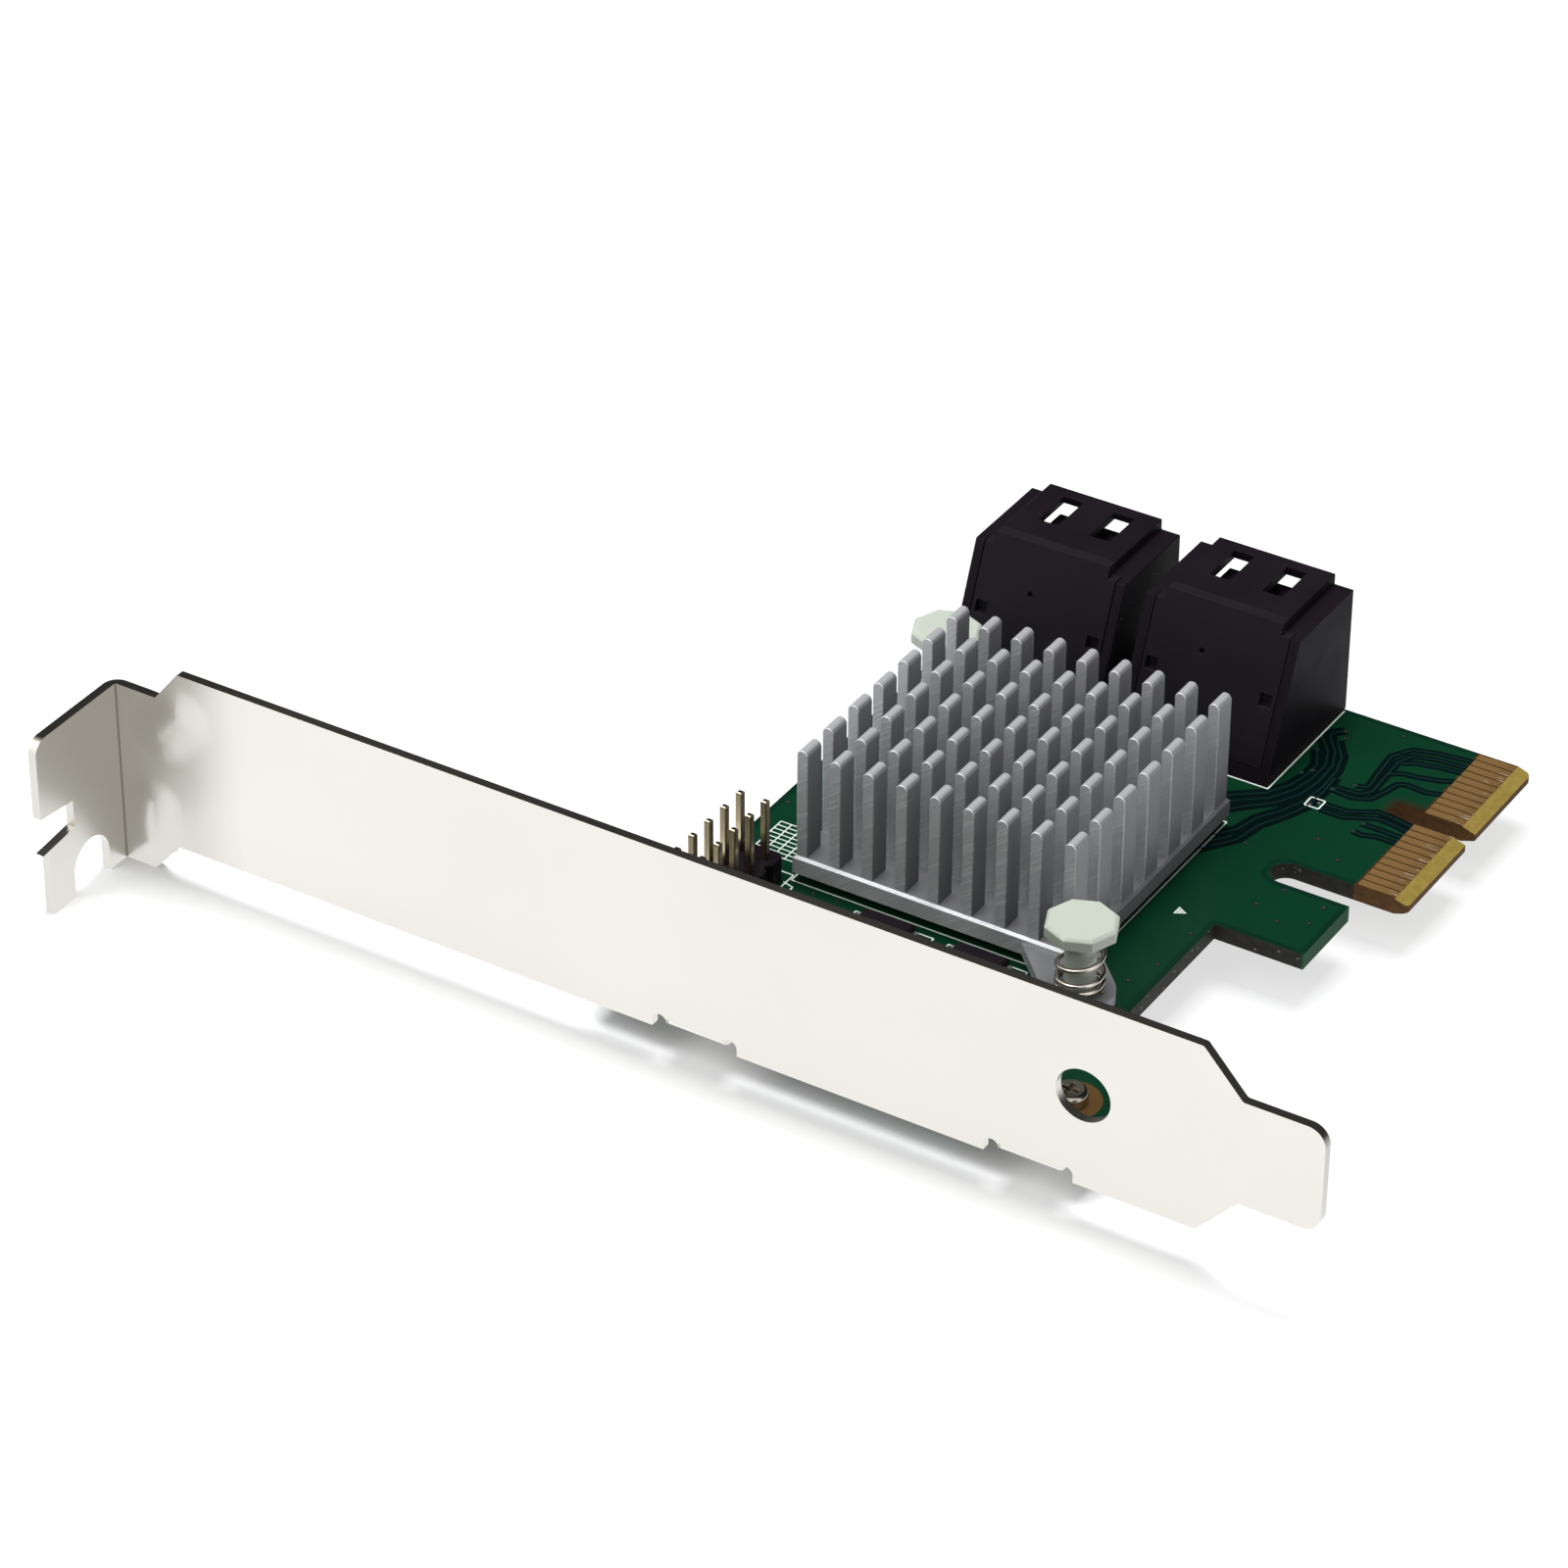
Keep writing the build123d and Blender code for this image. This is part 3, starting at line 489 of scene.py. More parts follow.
def lead_by_area(mesh):
    """Let faces pull their corners' normals by area, but only between faces less than 60 degrees apart."""
    around = [[] for vertex in mesh.vertices]
    for face in mesh.polygons:
        for index in face.vertices:
            around[index].append((face.normal.copy(), face.area / MM ** 2))
    normals = []
    for face in mesh.polygons:
        for index in face.vertices:
            pull = face.normal * 1e-9
            for normal, area in around[index]:
                if normal.dot(face.normal) > COSINE_OF_60:
                    pull = pull + normal * area
            normals.append(pull.normalized())
    mesh.normals_split_custom_set(normals)


def soften(piece, material, width, segments=2):
    """Round a piece's sharp edges and let its large flat faces lead the shading."""
    piece.data.shade_smooth()
    bevel = piece.modifiers.new("Rounded edges", "BEVEL")
    bevel.width = width * MM
    bevel.segments = segments
    bevel.limit_method = "ANGLE"
    bevel.angle_limit = SHARP_FROM
    settle(piece, material)
    lead_by_area(piece.data)
    return piece


print("rounding ready")

# %% [markdown]
# A copy starts from the node's own mesh, whose loose triangles are joined first. One step before
# the rounding and one after it may reshape the copy, which only the bracket needs.

# %% Copies that stand for nodes
def merged_copy(node):
    """A node's mesh as one joined, dissolved shape."""
    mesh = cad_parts[node].data.copy()
    if "custom_normal" in mesh.attributes:
        mesh.attributes.remove(mesh.attributes["custom_normal"])
    shape = bmesh.new()
    shape.from_mesh(mesh)
    bmesh.ops.remove_doubles(shape, verts=shape.verts, dist=TOUCHING)
    bmesh.ops.dissolve_limit(shape, angle_limit=FLAT_WITHIN, verts=shape.verts, edges=shape.edges)
    return mesh, shape


def adopt(piece, *nodes, slot=None):
    """Let a finished piece ride on the card and stand for its nodes."""
    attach(piece, "root")
    if nodes:
        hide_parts(*nodes)
    print(f"{piece.name}: {len(piece.data.polygons)} faces")


def rounded(node, material, width, segments=2, first=None, last=None):
    """A copy of a node with its edges rounded by width millimetres, standing for the node."""
    mesh, shape = merged_copy(node)
    if first:
        first(shape)
    shape.to_mesh(mesh)
    shape.free()
    piece = soften(stand(node + "_finished", mesh), material, width, segments)
    if last:
        shape = bmesh.new()
        shape.from_mesh(piece.data)
        last(shape)
        shape.to_mesh(piece.data)
        shape.free()
        lead_by_area(piece.data)
    adopt(piece, node)


print("copies ready")

# %% [markdown]
# The bracket's neck has two ribs pressed into the sheet. The CAD shows them as plain tapered
# ones, but pressed metal rises softly. So the plain ribs are flattened before the bracket is
# rounded, and a smooth hill over each rib's crest says how far the metal rises instead.

# %% Soft ribs in the bracket's neck
# Each rib: x and z of its middle, length of its crest, turn in degrees, reach of its slope
RIBS = ((6.7, 12.8, 3.0, 50.0, 3.5), (4.4, 2.0, 3.8, 90.0, 3.3))
RIB_RISE = 0.45
RIBS_START, RIBS_END = 2.5, 13
FOLD_RADIUS = 0.59
NECK_SLANT = ((4.1, -3.2), (6.9, 0.0))
SLANT_END = 6.6
JOINED = 0.004 * MM


def rib_rise(x, z):
    """How far the pressed sheet stands out at a drawn place, in millimetres."""
    rise = 0.0
    for rib_x, rib_z, length, turn, reach in RIBS:
        along = (math.cos(math.radians(turn)), math.sin(math.radians(turn)))
        run = (x - rib_x) * along[0] + (z - rib_z) * along[1]
        run = max(-length / 2, min(length / 2, run))
        gap = math.hypot(x - rib_x - run * along[0], z - rib_z - run * along[1])
        rise = max(rise, RIB_RISE * math.cos(math.pi / 2 * min(1.0, gap / reach)) ** 2)
    return rise


def drawn(vert):
    """A vertex's place in drawn millimetres."""
    return [value / MM for value in vert.co - spot(0, 0, 0)]


def join_flat(shape, wanted):
    """Merge touching points, then join faces that lie in one plane across the wanted edges."""
    bmesh.ops.remove_doubles(shape, verts=shape.verts, dist=JOINED)
    bmesh.ops.dissolve_degenerate(shape, edges=shape.edges, dist=JOINED)
    bmesh.ops.recalc_face_normals(shape, faces=shape.faces)
    shape.normal_update()
    flat = [edge for edge in shape.edges if wanted(edge)]
    ends = list(dict.fromkeys(vert for edge in flat for vert in edge.verts))
    bmesh.ops.dissolve_limit(shape, angle_limit=FLAT_WITHIN, verts=ends, edges=flat)


def flatten_ribs(shape):
    """Take the plain ribs out of the bracket, with the sliver past its slant, and sharpen its fold."""
    start, end = (Vector(place) for place in NECK_SLANT)
    outward = Vector((end.y - start.y, start.x - end.x)).normalized()
    for vert in shape.verts:
        x, y, z = drawn(vert)
        if RIBS_START < x < RIBS_END and (y < -0.01 or SHEET - RIB_RISE - 0.01 < y < SHEET - 0.01):
            vert.co.y = spot(0, 0 if y < -0.01 else SHEET).y
        off_arc = math.hypot(x - SHEET - FOLD_RADIUS, y + FOLD_RADIUS) - FOLD_RADIUS
        if abs(off_arc) < 0.005 and x < SHEET + FOLD_RADIUS + 0.001:
            vert.co.xy = spot(SHEET, 0).xy
        past = (Vector((x, z)) - start).dot(outward)
        if RIBS_START < x < SLANT_END and z < -0.01 and past > 0.003:
            vert.co.x -= past * outward.x * MM
            vert.co.z -= past * outward.y * MM
    join_flat(shape, lambda edge: True)


print("highest rise of the ribs in mm:", max(rib_rise(x, z) for x, z, *_ in RIBS))

# %% [markdown]
# Pressing comes after the rounding, because a bevel fails on a mesh with very short edges. Cuts
# every 0.4 mm turn the neck into a fine grid, whose points then move by the height of the hill.

# %% Press the ribs
GRID_CELL = 0.4
GRID_END = 14.0
GRID_HEIGHT = 21.6
BRACKET_ROUNDING = 0.26


def cut_through(face, upright):
    """Whether a grid cut goes through a face: all of the neck, and for upright cuts all that reach it."""
    reach = [drawn(vert)[0] for vert in face.verts]
    return SHEET < sum(reach) / len(reach) < GRID_END or (upright and min(reach) < GRID_END)


def press_ribs(shape):
    """Press soft ribs into the rounded bracket's neck, and keep the inner corner of its fold sharp."""
    for vert in shape.verts:
        x, y, z = drawn(vert)
        if x > SHEET - 0.001 and y < 0.001 and math.hypot(x - SHEET, y) < BRACKET_ROUNDING + 0.005:
            vert.co.xy = spot(SHEET, 0).xy
    join_flat(shape, lambda edge: False)
    bmesh.ops.triangulate(
        shape, faces=[face for face in shape.faces if min(drawn(vert)[0] for vert in face.verts) < GRID_END])
    across, up = int((GRID_END - SHEET) / GRID_CELL), int(GRID_HEIGHT / GRID_CELL)
    cuts = [((GRID_END - count * GRID_CELL, 0, 0), (1, 0, 0)) for count in range(across)]
    cuts += [((0, 0, (count + 0.5) * GRID_CELL - NECK_DROP), (0, 0, 1)) for count in range(up)]
    for place, normal in cuts:
        near = [face for face in shape.faces if cut_through(face, upright=normal[0] == 1)]
        parts = list(dict.fromkeys(item for face in near for item in (*face.verts, *face.edges, face)))
        bmesh.ops.bisect_plane(shape, geom=parts, plane_co=spot(*place), plane_no=normal, dist=TOUCHING)
    for vert in shape.verts:
        x, y, z = drawn(vert)
        if SHEET + 0.01 < x < GRID_END and -0.01 < y < SHEET + 0.01:
            vert.co.y -= rib_rise(x, z) * MM
    join_flat(shape, lambda edge: all(drawn(vert)[0] > GRID_END - 0.001 for vert in edge.verts)
              or all(drawn(vert)[0] < SHEET + 0.001 for vert in edge.verts))
    odd = dict.fromkeys(vert for edge in shape.edges if len(edge.link_faces) != 2 for vert in edge.verts)
    bmesh.ops.remove_doubles(shape, verts=list(odd), dist=0.02 * MM)
    bmesh.ops.dissolve_degenerate(shape, edges=shape.edges, dist=TOUCHING)
    bmesh.ops.recalc_face_normals(shape, faces=shape.faces)
    print("edges of the bracket without two faces:", sum(len(edge.link_faces) != 2 for edge in shape.edges))


print("grid cell in mm:", GRID_CELL)

# %% [markdown]
# Now each node whose shape is right gets its rounded copy. The width follows the photograph:
# wide on the bracket's sheet metal and the moulded push pins, narrow on small black parts.

# %% Round the nodes
rounded("io_bracket", nickel, BRACKET_ROUNDING, segments=4, first=flatten_ribs, last=press_ribs)
for side in ("left", "right"):
    rounded(f"sata_housing_{side}", black_plastic, 0.12)
    rounded(f"sata_back_cover_{side}", cover_plastic, 0.10)
    rounded(f"regulator_{side}", chip_plastic, 0.06)
rounded("header_base", black_plastic, 0.10)
rounded("bracket_screws", bright_steel, 0.08, segments=3)
for end in ("front", "rear"):
    rounded(f"push_pin_{end}", nylon, 0.18, segments=3)

# %% [markdown]
# Small flat parts need no rounding that could be seen, so their CAD nodes stay and only take a
# finish. The finish goes on the object's own slot, which leaves the node's mesh untouched.

# %% Finishes on the nodes that stay
def dress(node, material):
    """Put a finish on a CAD node's own slots."""
    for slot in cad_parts[node].material_slots:
        slot.link = "OBJECT"
        slot.material = material


dress("circuit_board", board_skin)
dress("edge_contacts_component_side", contact_gold)
dress("edge_contacts_solder_side", contact_gold)
dress("controller_chip", chip_plastic)
dress("thermal_pad", pad_grey)
for side in ("left", "right"):
    dress(f"sata_contacts_{side}", pin_gold)
    dress(f"regulator_leads_{side}", tin)
print("dressed nodes: 9")

# %% [markdown]
# Many parts of the card are one shape repeated: heat sink pins, header pins, solder joints and
# the holes that join the board's layers. Geometry Nodes place copies of a shape on a grid or on
# points, turn them into real mesh and give them their finish, so that a count or a pitch is one
# number.

# %% Geometry trees for copies on a grid and on points
def copy_shape(bench, points, get):
    """Copies of the tree's shape on points."""
    shape = bench.add("GeometryNodeObjectInfo", {"Object": get["Shape"]})
    inputs = {"Points": points, "Instance": shape.outputs["Geometry"]}
    return bench.add("GeometryNodeInstanceOnPoints", inputs).outputs[0]


def end_tree(bench, copies, get, give):
    """Turn copies into real mesh, give it its finish and end the tree with it."""
    solid = bench.add("GeometryNodeRealizeInstances", {"Geometry": copies})
    done = bench.add("GeometryNodeSetMaterial", {"Geometry": solid.outputs[0], "Material": get["Finish"]})
    bench.link(done.outputs[0], give["Geometry"])
    return bench.tree


def make_grid_tree():
    """Copies of a shape on a flat grid."""
    bench, get, give = new_tree(
        "copies_on_a_grid", "GeometryNodeTree",
        {"Geometry": "Geometry", "Shape": "Object", "Columns": 2, "Rows": 2, "Length": 0.01, "Depth": 0.01,
         "Centre": (0.0, 0.0, 0.0), "Finish": "Material"},
        {"Geometry": "Geometry"})
    grid = bench.add(
        "GeometryNodeMeshGrid",
        {"Size X": get["Length"], "Size Y": get["Depth"], "Vertices X": get["Columns"], "Vertices Y": get["Rows"]})
    moved = bench.add("GeometryNodeSetPosition", {"Geometry": grid.outputs["Mesh"], "Offset": get["Centre"]})
    return end_tree(bench, copy_shape(bench, moved.outputs[0], get), get, give)


def make_point_tree():
    """Copies of a shape on given points."""
    bench, get, give = new_tree(
        "copies_on_points", "GeometryNodeTree",
        {"Geometry": "Geometry", "Shape": "Object", "Finish": "Material"}, {"Geometry": "Geometry"})
    return end_tree(bench, copy_shape(bench, get["Geometry"], get), get, give)


GRID_TREE = make_grid_tree()
POINT_TREE = make_point_tree()


def grow(name, tree, material, points=(), edges=(), **sizes):
    """Run a geometry tree on some points and edges, and keep the result as a plain mesh."""
    seed = bpy.data.meshes.new(name)
    seed.from_pydata([tuple(point) for point in points], list(edges), [])
    piece = stand(name, seed)
    worker = piece.modifiers.new("Growth", "NODES")
    worker.node_group = tree
    values = {key.replace("_", " "): value for key, value in sizes.items()}
    values["Finish"] = material
    for item in tree.interface.items_tree:
        if item.item_type == "SOCKET" and item.in_out == "INPUT" and item.name in values:
            worker[item.identifier] = values[item.name]
    settle(piece, material)
    piece.data.shade_smooth()
    piece.data.set_sharp_from_angle(angle=math.radians(35.0))
    return piece


def pattern_shape(name, shape):
    """A small hidden object that a geometry tree copies."""
    mesh = bpy.data.meshes.new(name)
    bmesh.ops.recalc_face_normals(shape, faces=shape.faces)
    shape.to_mesh(mesh)
    shape.free()
    return bpy.data.objects.new(name, mesh)


print("geometry trees:", GRID_TREE.name, POINT_TREE.name)

# %% [markdown]
# The heat sink starts as an aluminium extrusion with tall thin fins. Cross cuts divide every
# fin, which leaves nine by seven flat pins with rounded tops. One pin is drawn here by
# extruding its outline, and the grid tree repeats it.

# %% Heat sink pins
SINK_X, SINK_Y = 71.3, 35.35
sink_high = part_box("heatsink")[1]
FIN_FIELD = 27.5
FIN_WIDTH, FIN_DEPTH = 1.1, 2.3
FIN_COLUMNS, FIN_ROWS = 9, 7


def make_fin_pin():
    """One flat pin with a rounded top, standing on the origin."""
    height = sink_high[2] - spot(0, 0, SINK_BASE_TOP).z
    half = FIN_WIDTH / 2 * MM
    outline = [(-half, -0.05 * MM), (half, -0.05 * MM)]
    steps = 10
    for step in range(steps + 1):
        turn = math.pi * step / steps
        outline.append((half * math.cos(turn), height - half + half * math.sin(turn)))
    shape = bmesh.new()
    front = [shape.verts.new((x, -FIN_DEPTH / 2 * MM, z)) for x, z in outline]
    face = shape.faces.new(front)
    pushed = bmesh.ops.extrude_face_region(shape, geom=[face])
    moved = [part for part in pushed["geom"] if isinstance(part, bmesh.types.BMVert)]
    bmesh.ops.translate(shape, vec=(0, FIN_DEPTH * MM, 0), verts=moved)
    rims = [edge for edge in shape.edges if abs(edge.verts[0].co.y - edge.verts[1].co.y) < 1e-7]
    bmesh.ops.bevel(shape, geom=rims, offset=0.06 * MM, segments=1, affect="EDGES")
    return pattern_shape("fin_pin", shape)


adopt(grow("heatsink_pins", GRID_TREE, sink_metal, Shape=make_fin_pin(), Columns=FIN_COLUMNS, Rows=FIN_ROWS,
           Length=(FIN_FIELD - FIN_WIDTH) * MM, Depth=(FIN_FIELD - FIN_DEPTH) * MM,
           Centre=spot(SINK_X, SINK_Y, SINK_BASE_TOP)), "heatsink")

# %% [markdown]
# The base is the lower part of the same solid, with its two ears. It is cut from a copy of the
# CAD node just above the base's top, so its outline and holes stay exactly as designed.

# %% Heat sink base with its ears
def make_sink_base():
    """The heat sink's base plate and ears, without the pins."""
    mesh, shape = merged_copy("heatsink")
    cut = spot(0, 0, SINK_BASE_TOP + 0.03)
    everything = shape.verts[:] + shape.edges[:] + shape.faces[:]
    bmesh.ops.bisect_plane(shape, geom=everything, plane_co=cut, plane_no=(0, 0, 1), clear_outer=True)
    bmesh.ops.holes_fill(shape, edges=[edge for edge in shape.edges if edge.is_boundary])
    shape.to_mesh(mesh)
    shape.free()
    return soften(stand("heatsink_base", mesh), sink_metal, 0.06)


adopt(make_sink_base(), slot="sink_aluminium")

# %% [markdown]
# A compression spring sits closed at its foot and opens towards the pin's head. Instead of a
# constant pitch, the height follows a power of the distance along the wire. A geometry tree
# bends a line into that coil and gives it a round wire section.

# %% Springs
def make_coil_tree():
    """A coil spring on every point, closed at its foot."""
    bench, get, give = new_tree(
        "coil_spring", "GeometryNodeTree",
        {"Geometry": "Geometry", "Coil Radius": 0.002, "Wire Radius": 0.0002, "Turns": 3.6, "Rise": 0.005,
         "Closed Pitch": 0.0005, "Growth": 3.8, "Finish": "Material"},
        {"Geometry": "Geometry"})
    line = bench.add("GeometryNodeCurvePrimitiveLine")
    fine = bench.add("GeometryNodeResampleCurve", {"Curve": line.outputs[0], "Count": 130})
    share = bench.add("GeometryNodeSplineParameter").outputs["Factor"]
    turn = bench.times(bench.times(share, get["Turns"]), 2 * math.pi)
    x = bench.times(bench.math("COSINE", turn), get["Coil Radius"])
    y = bench.times(bench.math("SINE", turn), get["Coil Radius"])
    closed = bench.times(get["Turns"], get["Closed Pitch"])
    open_rise = bench.math("SUBTRACT", get["Rise"], closed)
    high_part = bench.times(open_rise, bench.math("POWER", share, get["Growth"]))
    z = bench.math("ADD", bench.times(closed, share), high_part)
    place = bench.add("ShaderNodeCombineXYZ", {0: x, 1: y, 2: z})
    bent = bench.add("GeometryNodeSetPosition", {"Geometry": fine.outputs[0], "Position": place.outputs[0]})
    ring = bench.add("GeometryNodeCurvePrimitiveCircle", {"Resolution": 12, "Radius": get["Wire Radius"]})
    wire = bench.add(
        "GeometryNodeCurveToMesh", {"Curve": bent.outputs[0], "Profile Curve": ring.outputs[0], "Fill Caps": True})
    inputs = {"Points": get["Geometry"], "Instance": wire.outputs[0]}
    coils = bench.add("GeometryNodeInstanceOnPoints", inputs)
    return end_tree(bench, coils.outputs[0], get, give)


WIRE = 0.45
COIL = 4.4
spring_low, spring_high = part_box("push_pin_spring_front")
foot = (spring_low[2] - bracket_low[2]) / MM - NECK_DROP + WIRE / 2
PUSH_PLACES = ((SINK_X + 16.3, SINK_Y - 17.0), (SINK_X - 16.3, SINK_Y + 16.0))
springs = grow(
    "push_pin_springs", make_coil_tree(), bright_steel, points=[spot(x, y, foot) for x, y in PUSH_PLACES],
    Coil_Radius=(COIL - WIRE) / 2 * MM, Wire_Radius=WIRE / 2 * MM, Turns=3.6,
    Rise=spring_high[2] - spring_low[2] - WIRE * MM, Closed_Pitch=0.52 * MM, Growth=3.8)
adopt(springs, "push_pin_spring_front", "push_pin_spring_rear")

# %% [markdown]
# Header pins are square wire with a pressed, rounded tip. The grid tree repeats one pin five
# times in two columns.

# %% Header pins
pins_low, pins_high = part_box("header_pins")
HEADER_PITCH = 2.54


def make_header_pin():
    """One square pin with rounded corners and tip."""
    height = pins_high[2] - pins_low[2]
    half = 0.32 * MM
    shape = bmesh.new()
    bmesh.ops.create_cube(shape, size=1.0)
    bmesh.ops.scale(shape, vec=(2 * half, 2 * half, height), verts=shape.verts)
    bmesh.ops.translate(shape, vec=(0, 0, height / 2), verts=shape.verts)
    top = [edge for edge in shape.edges if all(vert.co.z > height * 0.9 for vert in edge.verts)]
    bmesh.ops.bevel(shape, geom=top, offset=0.24 * MM, segments=4, profile=0.5, affect="EDGES")
    upright = [edge for edge in shape.edges if abs(edge.verts[0].co.z - edge.verts[1].co.z) > height * 0.5]
    bmesh.ops.bevel(shape, geom=upright, offset=0.07 * MM, segments=2, affect="EDGES")
    return pattern_shape("header_pin", shape)


header_centre = Vector(((pins_low[0] + pins_high[0]) / 2, (pins_low[1] + pins_high[1]) / 2, pins_low[2]))
adopt(grow("header_pins_finished", GRID_TREE, pin_gold, Shape=make_header_pin(), Columns=2, Rows=5,
           Length=HEADER_PITCH * MM, Depth=4 * HEADER_PITCH * MM, Centre=header_centre), "header_pins")

# %% [markdown]
# Under the board every through pin ends in a small cone of solder. A cone is a turned shape,
# so its outline is spun round an axis once, and copied on the points where pins come through.

# %% Turned shapes and solder joints
def copies(name, material, points, shape, slot):
    """A shape copied on points, as one piece; its slot argument is not used."""
    adopt(grow(name, POINT_TREE, material, points=points, Shape=shape), slot=slot)


def turned(name, outline, steps=20, hollow=False):
    """Spin an outline of (radius, height) pairs in millimetres round the upright axis."""
    shape = bmesh.new()
    rings = []
    for radius, height in outline:
        ring = []
        for step in range(steps):
            angle = 2 * math.pi * step / steps
            ring.append(shape.verts.new((radius * math.cos(angle) * MM, radius * math.sin(angle) * MM, height * MM)))
        rings.append(ring)
    following = rings[1:] + rings[:1] if hollow else rings[1:]
    for lower, upper in zip(rings, following):
        for step in range(steps):
            after = (step + 1) % steps
            shape.faces.new((lower[step], lower[after], upper[after], upper[step]))
    if not hollow:
        shape.faces.new(list(reversed(rings[0])))
        shape.faces.new(rings[-1])
    return pattern_shape(name, shape)


PORT_STARTS = (52.2, 69.88)
PORT_WIDTH = 15.55
TAIL_PITCH = 1.27
TAIL_ROWS = (58.4, 60.4)
HEADER_X, HEADER_Y = 53.97, 15.08


def tail_spots(start):
    """Where one drive connector's tails come through the board."""
    first = start + PORT_WIDTH / 2 - 3 * TAIL_PITCH
    return [spot(first + count * TAIL_PITCH, row, BOARD_BOTTOM) for row in TAIL_ROWS for count in range(7)]


header_spots = [spot(HEADER_X + column * HEADER_PITCH, HEADER_Y + row * HEADER_PITCH, BOARD_BOTTOM)
                for column in (-0.5, 0.5) for row in (-2, -1, 0, 1, 2)]
joint_outline = [(0.84, 0.02), (0.84, -0.02), (0.66, -0.12), (0.50, -0.38), (0.40, -0.72), (0.30, -0.80)]
small_outline = [(radius * 0.68, height * 0.8) for radius, height in joint_outline]
copies("header_solder_joints", tin, header_spots, turned("joint", joint_outline), "lead_tin")
tails = [place for start in PORT_STARTS for place in tail_spots(start)]
copies("drive_solder_joints", tin, tails, turned("small_joint", small_outline), "lead_tin")

# %% [markdown]
# The board's layers are joined by small plated holes, which show as dark dots with a faint
# ring under the mask. They are scattered where the photograph shows them, and a few more
# follow the same spacing where the card is hidden.

# %% Plated holes through the layers
VIA_PLACES = [
    (90.5, 59.1), (91.9, 60.7), (95.3, 55.7), (95.1, 54.2), (87.2, 68.0), (92.0, 70.1), (87.7, 67.0), (87.6, 60.8),
    (86.9, 60.0), (86.4, 64.0), (98.3, 42.4), (98.3, 39.7), (95.8, 38.5), (93.1, 39.9), (88.0, 47.5), (59.8, 20.8),
    (62.2, 20.8), (50.5, 31.6), (94.2, 43.0), (90.4, 33.0), (90.2, 27.5), (89.2, 24.1), (96.0, 49.5), (93.0, 51.5),
    (51.2, 42.0), (50.9, 48.5), (58.0, 10.5), (66.0, 8.5), (72.4, 12.5), (80.0, 9.0), (84.6, 12.0), (88.5, 9.5),
]
lid_outline = [(0.30, -0.01), (0.30, 0.012), (0.27, 0.018), (0.0001, 0.018)]
dot_outline = [(0.13, 0.0), (0.13, 0.024), (0.0001, 0.024)]
via_spots = [spot(x, y, BOARD_TOP) for x, y in VIA_PLACES]
copies("via_rings", track, via_spots, turned("via_ring", lid_outline), "board_laminate")
copies("via_holes", hole_dark, via_spots, turned("via_hole", dot_outline, 12), "board_laminate")

# %% [markdown]
# The bracket's screws sit on bare rings in the mask, so that the metal bracket and the board's
# ground copper meet. Each ring is a thin washer shape, again turned from an outline.

# %% Bare rings under the screws
ring_outline = [(1.11, 0.0), (2.8, 0.0), (2.8, 0.015), (1.11, 0.015)]
SCREW_PLACES = ((60.8, 6.8), (93.25, 6.8))
screw_spots = [spot(x, y, BOARD_TOP) for x, y in SCREW_PLACES]
copies("screw_rings", bare_ring, screw_spots, turned("screw_ring", ring_outline, 40, hollow=True), "board_laminate")

# %% [markdown]
# Printed lines and copper tracks are the same thing to a modeller: a path with a width. The
# tree turns edges into curves, rounds their corners, and sweeps a very flat rectangle along
# them. A track needs two runs of it: a wide dark clearing, and the copper in its middle.

# %% Geometry tree for flat lines
def make_line_tree():
    """Flat bands that follow edges, with rounded corners."""
    bench, get, give = new_tree(
        "flat_lines", "GeometryNodeTree",
        {"Geometry": "Geometry", "Width": 0.0002, "Thickness": 0.00002, "Corner Radius": 0.0, "Finish": "Material"},
        {"Geometry": "Geometry"})
    curve = bench.add("GeometryNodeMeshToCurve", {"Mesh": get["Geometry"]})
    eased = bench.add(
        "GeometryNodeFilletCurve",
        {"Curve": curve.outputs[0], "Radius": get["Corner Radius"], "Count": 6, "Limit Radius": True}, mode="POLY")
    flat = bench.add("GeometryNodeSetCurveNormal", {"Curve": eased.outputs[0]}, mode="Z_UP")
    section = bench.add(
        "GeometryNodeCurvePrimitiveQuadrilateral", {"Width": get["Width"], "Height": get["Thickness"]})
    band = bench.add(
        "GeometryNodeCurveToMesh", {"Curve": flat.outputs[0], "Profile Curve": section.outputs[0], "Fill Caps": True})
    return end_tree(bench, band.outputs[0], get, give)


LINE_TREE = make_line_tree()
BAND_THICKNESS = 0.012
BAND_STEP = 0.0006


def band(name, material, paths, width, lift, corner=0.0):
    """Flat bands along paths of drawn places on the board, each a hair above the one before."""
    points, edges = [], []
    for count, path in enumerate(paths):
        start = len(points)
        loop = path[0] == path[-1]
        places = path[:-1] if loop else path
        level = BOARD_TOP + lift + BAND_STEP * count
        points += [spot(x, y, level) for x, y in places]
        edges += [(start + step, start + step + 1) for step in range(len(places) - 1)]
        if loop:
            edges.append((start + len(places) - 1, start))
    piece = grow(name, LINE_TREE, material, points=points, edges=edges, Width=width * MM,
                 Thickness=BAND_THICKNESS * MM, Corner_Radius=corner * MM)
    adopt(piece, slot="board_laminate")


print("geometry tree:", LINE_TREE.name)

# %% [markdown]
# Tracks run in pairs from the edge contacts to the chip, with a wider bundle from the chip to
# the drive connectors. Their paths follow the photograph in board millimetres.

